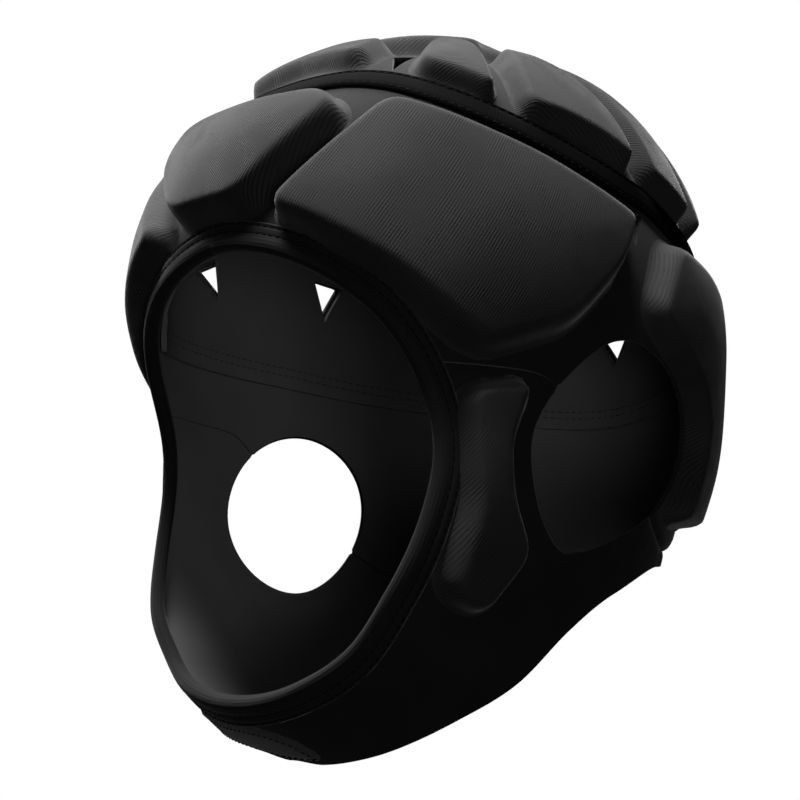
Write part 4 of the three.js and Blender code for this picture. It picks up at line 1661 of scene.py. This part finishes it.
@dataclass
class FaceBinding:
    """The elastic binding folded over the rim of the face opening, with two rows of stitches outside."""

    outer_leg: float = 8.2
    inner_leg: float = 2.2
    inner_lift: float = -2.6
    gap: float = 0.35
    wall: float = 1.0
    rows: tuple[float, ...] = (7.2, 4.7)
    flat_size: tuple[float, float] = (0.0155, 0.463)

    def build(self) -> None:
        """Makes the binding and its stitches."""
        near, far = self.gap, self.gap + self.wall
        low = self.inner_lift
        middle = (near + low) / 2
        outside = [
            (self.outer_leg, near), (self.outer_leg + 0.05, far - 0.35), (self.outer_leg - 0.4, far),
        ]
        for row in self.rows:
            outside += [(row + 0.6, far + 0.1), (row, far - 0.25), (row - 0.7, far + 0.1)]
        outside += [(2.4, far + 0.3), (0.9, far + 0.1), (-0.5, far - 0.7), (-1.15, middle)]
        inside = [
            (-0.5, low - self.wall + 0.4), (0.6, low - self.wall), (self.inner_leg - 0.4, low - self.wall),
            (self.inner_leg, low - 0.5), (self.inner_leg - 0.1, low),
        ]
        within_fold = [(0.6, low), (-0.1, middle - 0.5), (-0.1, middle + 0.5), (0.6, near)]
        section = [(-across, lift) for across, lift in outside + inside + within_fold]
        piece = swept("face_binding_folded", FACE_RIM, section)
        dress(piece, "rim_binding", BINDING_KNIT)
        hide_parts("face_binding")
        rows = [StitchRow(HEAD.across(FACE_RIM, -row), far - 0.2) for row in self.rows]
        sew("face_binding_stitches", rows, "rim_binding")


class TabPlace(NamedTuple):
    """The chin tab's upper and lower level at an azimuth."""

    azimuth: float
    top: float
    bottom: float


@dataclass
class ChinTab:
    """The grip tab that laps over the ends of the chin strap."""

    rows: tuple[TabPlace, ...] = (
        TabPlace(-32, 167.5, 172.5), TabPlace(-12, 171.5, 176), TabPlace(0, 173.5, 178.5),
        TabPlace(8, 176, 179.5), TabPlace(11, 178, 179.5),
    )
    gap: float = 0.35
    wall: float = 1.6
    edge_round: float = 1.2
    edge_share: float = 0.55  # thickness at the very edge
    edge_step: float = 0.8
    edge_samples: int = 60
    grid: float = 0.9
    fill_gap: float = 0.4
    stitch_inset: float = 1.6
    flat_size: tuple[float, float] = (0.012, 0.067)
    flat_area: float = 0.00066

    def outline(self) -> Array:
        """The tab's outline, laid flat.

        Returns:
            Rows of x and y.
        """
        azimuth = np.linspace(self.rows[0].azimuth, self.rows[-1].azimuth, self.edge_samples)
        top = np.column_stack([azimuth, read_table(self.rows, "top", azimuth)])
        bottom = np.column_stack([azimuth, read_table(self.rows, "bottom", azimuth)])
        return respaced(Plan.BAND.lay(np.vstack([top, bottom[::-1]])), self.edge_step, True)

    def build(self) -> None:
        """Makes the tab and the stitches round its edge."""
        plan, outline = Plan.BAND, self.outline()
        fill = honeycomb(outline.min(0), outline.max(0), self.grid)
        cut = cut_out([Loop(outline, True)], fill, lambda flat: within(flat, outline), self.fill_gap)
        edge = nearness(cut.flat, outline, True).distance
        swell = np.clip(edge / self.edge_round, 0, 1) ** 0.5
        outer = self.gap + self.wall * (self.edge_share + (1 - self.edge_share) * swell)
        piece = shell("chin_tab_pile", plan, cut, outer, self.gap)
        dress(piece, "grip_tab", LOOP_PILE, SHADE_DARKENED_TAPE_WEAVE)
        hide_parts("chin_tab")
        path = HEAD.across(plan.places(outline), self.stitch_inset)
        row = StitchRow(path, self.gap + self.wall - 0.1, pitch=2.2, length=1.6, width=0.45, height=0.3)
        sew("chin_tab_stitches", [row], "grip_tab")


# Slanted vent

@dataclass(frozen=True)
class SlantVent:
    """A vent that runs one way through the lining, the band and the pad of the wearer's right temple."""

    corners: tuple[Place, ...] = (Place(-58.2, 74.3), Place(-45.4, 70.5), Place(-53.8, 67.4))
    azimuth: float = -132.0
    rise: float = 10.0
    start: float = -6.0
    end: float = 46.0
    pieces: tuple[str, ...] = ("lining_cap", "band_panel_cloth", "temple_pad_right_cover")

    def build(self) -> None:
        """Cuts the vent through its pieces."""
        turn, rise = math.radians(self.azimuth), math.radians(self.rise)
        flat = math.cos(rise)
        way = np.array([math.sin(turn) * flat, -math.cos(turn) * flat, math.sin(rise)])
        inside = HEAD.lifted(np.array(self.corners, float), LINING_INNER)
        points = np.vstack([inside + way * self.start, inside + way * self.end])
        faces = [(0, 1, 2), (5, 4, 3), (0, 3, 4, 1), (1, 4, 5, 2), (2, 5, 3, 0)]
        plug = new_piece("vent_plug", points, turned_out(points, faces))
        for name in self.pieces:
            piece = bpy.data.objects[name]
            change = piece.modifiers.new("vent", "BOOLEAN")
            change.operation = "DIFFERENCE"
            change.solver = "EXACT"
            change.object = plug
            whole = piece.data
            graph = bpy.context.evaluated_depsgraph_get()
            piece.data = bpy.data.meshes.new_from_object(piece.evaluated_get(graph))
            piece.modifiers.clear()
            bpy.data.meshes.remove(whole)
        bpy.data.objects.remove(plug)


# Studio

@dataclass(frozen=True)
class SoftBox:
    """A square lamp with a soft front, aimed at the head."""

    name: str
    across: float  # to the camera's right, metres from the head
    above: float
    nearer: float  # towards the camera
    size: float
    watts: float


def paint(piece: Piece, name: str, settings: dict[str, Any]) -> None:
    """Paints a piece of the studio, and hides it from the light that the headgear reflects.

    Args:
        piece: The piece.
        name: The paint's name.
        settings: Values of the surface shader by the name of an input.
    """
    made = bpy.data.materials.new(name)
    made.use_nodes = True
    set_shader(made.node_tree, settings)
    piece.data.materials.append(made)
    piece.visible_diffuse = False
    piece.visible_glossy = False


@dataclass
class Studio:
    """A white studio, its lamps, and the camera at the photograph's angle."""

    azimuth: float = 48.0
    elevation: float = -10.0
    distance: float = 0.8
    lens: float = 108.0
    ears: tuple[float, float, float] = (0.0, 0.0, -0.1336)
    aim_right: float = -0.016
    aim_up: float = 0.0273
    floor_z: float = -1.1
    reach: float = 12.0
    lamps: tuple[SoftBox, ...] = (
        SoftBox("top_lamp", -0.25, 1.4, 0.05, 0.5, 33.0),
        SoftBox("left_lamp", -0.85, 0.85, -0.8, 0.5, 10.0),
        SoftBox("back_lamp", 0.0, 1.3, -0.6, 0.5, 9.0),
        SoftBox("front_lamp", 0.2, -0.1, 1.5, 0.5, 2.8),
    )
    air: float = 0.0
    white: str = "#ffffff"
    black: str = "#000000"
    floor_colour: str = "#e9e9e8"
    floor_glow: float = 0.8
    floor_roughness: float = 0.9
    backdrop_sides: int = 24

    def axes(self) -> tuple[Vector, Vector, Vector]:
        """The camera's axes.

        Returns:
            Its right, up and backward directions.
        """
        a, e = math.radians(self.azimuth), math.radians(self.elevation)
        back = Vector((math.sin(a) * math.cos(e), -math.cos(a) * math.cos(e), math.sin(e)))
        right = Vector((math.cos(a), math.sin(a), 0))
        return right, back.cross(right), back

    def build(self) -> None:
        """Makes the camera, lamps, floor and backdrop."""
        right, up, back = self.axes()
        ears = Vector(self.ears)
        camera = bpy.data.objects.new("camera", bpy.data.cameras.new("camera"))
        camera.data.lens = self.lens
        camera.location = ears + right * self.aim_right + up * self.aim_up + back * self.distance
        camera.rotation_euler = (-back).to_track_quat("-Z", "Y").to_euler()
        bpy.context.scene.collection.objects.link(camera)
        bpy.context.scene.camera = camera
        for lamp in self.lamps:
            light = bpy.data.lights.new(lamp.name, "AREA")
            light.size = lamp.size
            light.energy = lamp.watts
            stand = bpy.data.objects.new(lamp.name, light)
            away = right * lamp.across + up * lamp.above + back * lamp.nearer
            stand.location = ears + away
            stand.rotation_euler = (-away).to_track_quat("-Z", "Y").to_euler()
            bpy.context.scene.collection.objects.link(stand)
        self.build_surroundings()

    def build_surroundings(self) -> None:
        """Makes the pale floor and a white backdrop all round, which only the camera sees."""
        world = bpy.data.worlds.new("studio_air")
        world.use_nodes = True
        backing = world.node_tree.nodes["Background"]
        backing.inputs["Strength"].default_value = self.air
        backing.inputs["Color"].default_value = linear(self.white)
        bpy.context.scene.world = world
        bpy.context.scene.view_settings.view_transform = "Standard"
        reach = self.reach / METRES
        flat = np.array([[-1, -1, 0], [1, -1, 0], [1, 1, 0], [-1, 1, 0]]) * reach
        floor = new_piece("studio_floor", flat + (0, 0, self.floor_z / METRES), [(0, 1, 2, 3)])
        grey = linear(self.floor_colour)
        paint(floor, "matt_floor_paint", {
            "Base Color": grey, "Roughness": self.floor_roughness, "Emission Color": grey,
            "Emission Strength": self.floor_glow,
        })
        turns = np.arange(self.backdrop_sides) * 2 * math.pi / self.backdrop_sides
        rings = [(reach, -reach), (reach, reach)]
        walls = np.array([[r * math.sin(t), r * math.cos(t), z] for r, z in rings for t in turns])
        count = len(turns)
        faces: list[tuple[int, ...]] = [
            (k, (k + 1) % count, count + (k + 1) % count, count + k) for k in range(count)
        ]
        faces.append(tuple(range(count, 2 * count)))
        backdrop = new_piece("studio_backdrop", walls, faces)
        paint(backdrop, "lit_white_paper", {
            "Base Color": linear(self.black), "Emission Color": linear(self.white), "Emission Strength": 1.0,
        })
        backdrop.visible_shadow = False


@dataclass
class Headgear:
    """The whole head guard."""

    crown: CrownPanel = field(default_factory=lambda: CrownPanel(
        "crown_panel", Plan.CROWN, (0.2, 0.21), 0.0285,
        (CROWN_FRONT_PAD, CROWN_TOP_PAD, *CROWN_SIDE_PADS, *(pad.turned() for pad in CROWN_SIDE_PADS)),
    ))
    band: BandPanel = field(default_factory=lambda: BandPanel(
        "band_panel", Plan.BAND, (0.105, 0.565), 0.043,
        (FOREHEAD_PAD, TEMPLE_PAD, TEMPLE_PAD.turned(), REAR_PAD, REAR_PAD.turned(), BACK_PAD.laid(),
         BACK_PAD.turned()),
    ))
    cheeks: tuple[CheekPanel, ...] = field(default_factory=lambda: (
        CheekPanel("cheek_panel_left", Plan.BAND, (0.11, 0.165), 0.0081, (CHEEK_PAD,), side=1),
        CheekPanel("cheek_panel_right", Plan.BAND, (0.11, 0.165), 0.0085, (CHEEK_PAD.turned(),), side=-1),
    ))
    lining: Lining = field(default_factory=Lining)
    tape: CrownTape = field(default_factory=CrownTape)
    binding: FaceBinding = field(default_factory=FaceBinding)
    tab: ChinTab = field(default_factory=ChinTab)
    slant_vent: SlantVent = field(default_factory=SlantVent)

    def build(self) -> None:
        """Makes every sub-assembly in order."""
        self.crown.build()
        self.band.build()
        for cheek in self.cheeks:
            cheek.build()
        self.lining.build()
        self.tape.build()
        self.binding.build()
        self.tab.build()
        self.slant_vent.build()


def main() -> None:
    """Loads the frame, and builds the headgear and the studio."""
    logging.basicConfig(level=logging.INFO, format="%(name)s: %(message)s")
    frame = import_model()
    LOG.info("frame with %d nodes", len(frame["nodes"]))
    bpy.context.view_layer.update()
    Studio().build()
    Headgear().build()


if __name__ == "__main__":
    main()
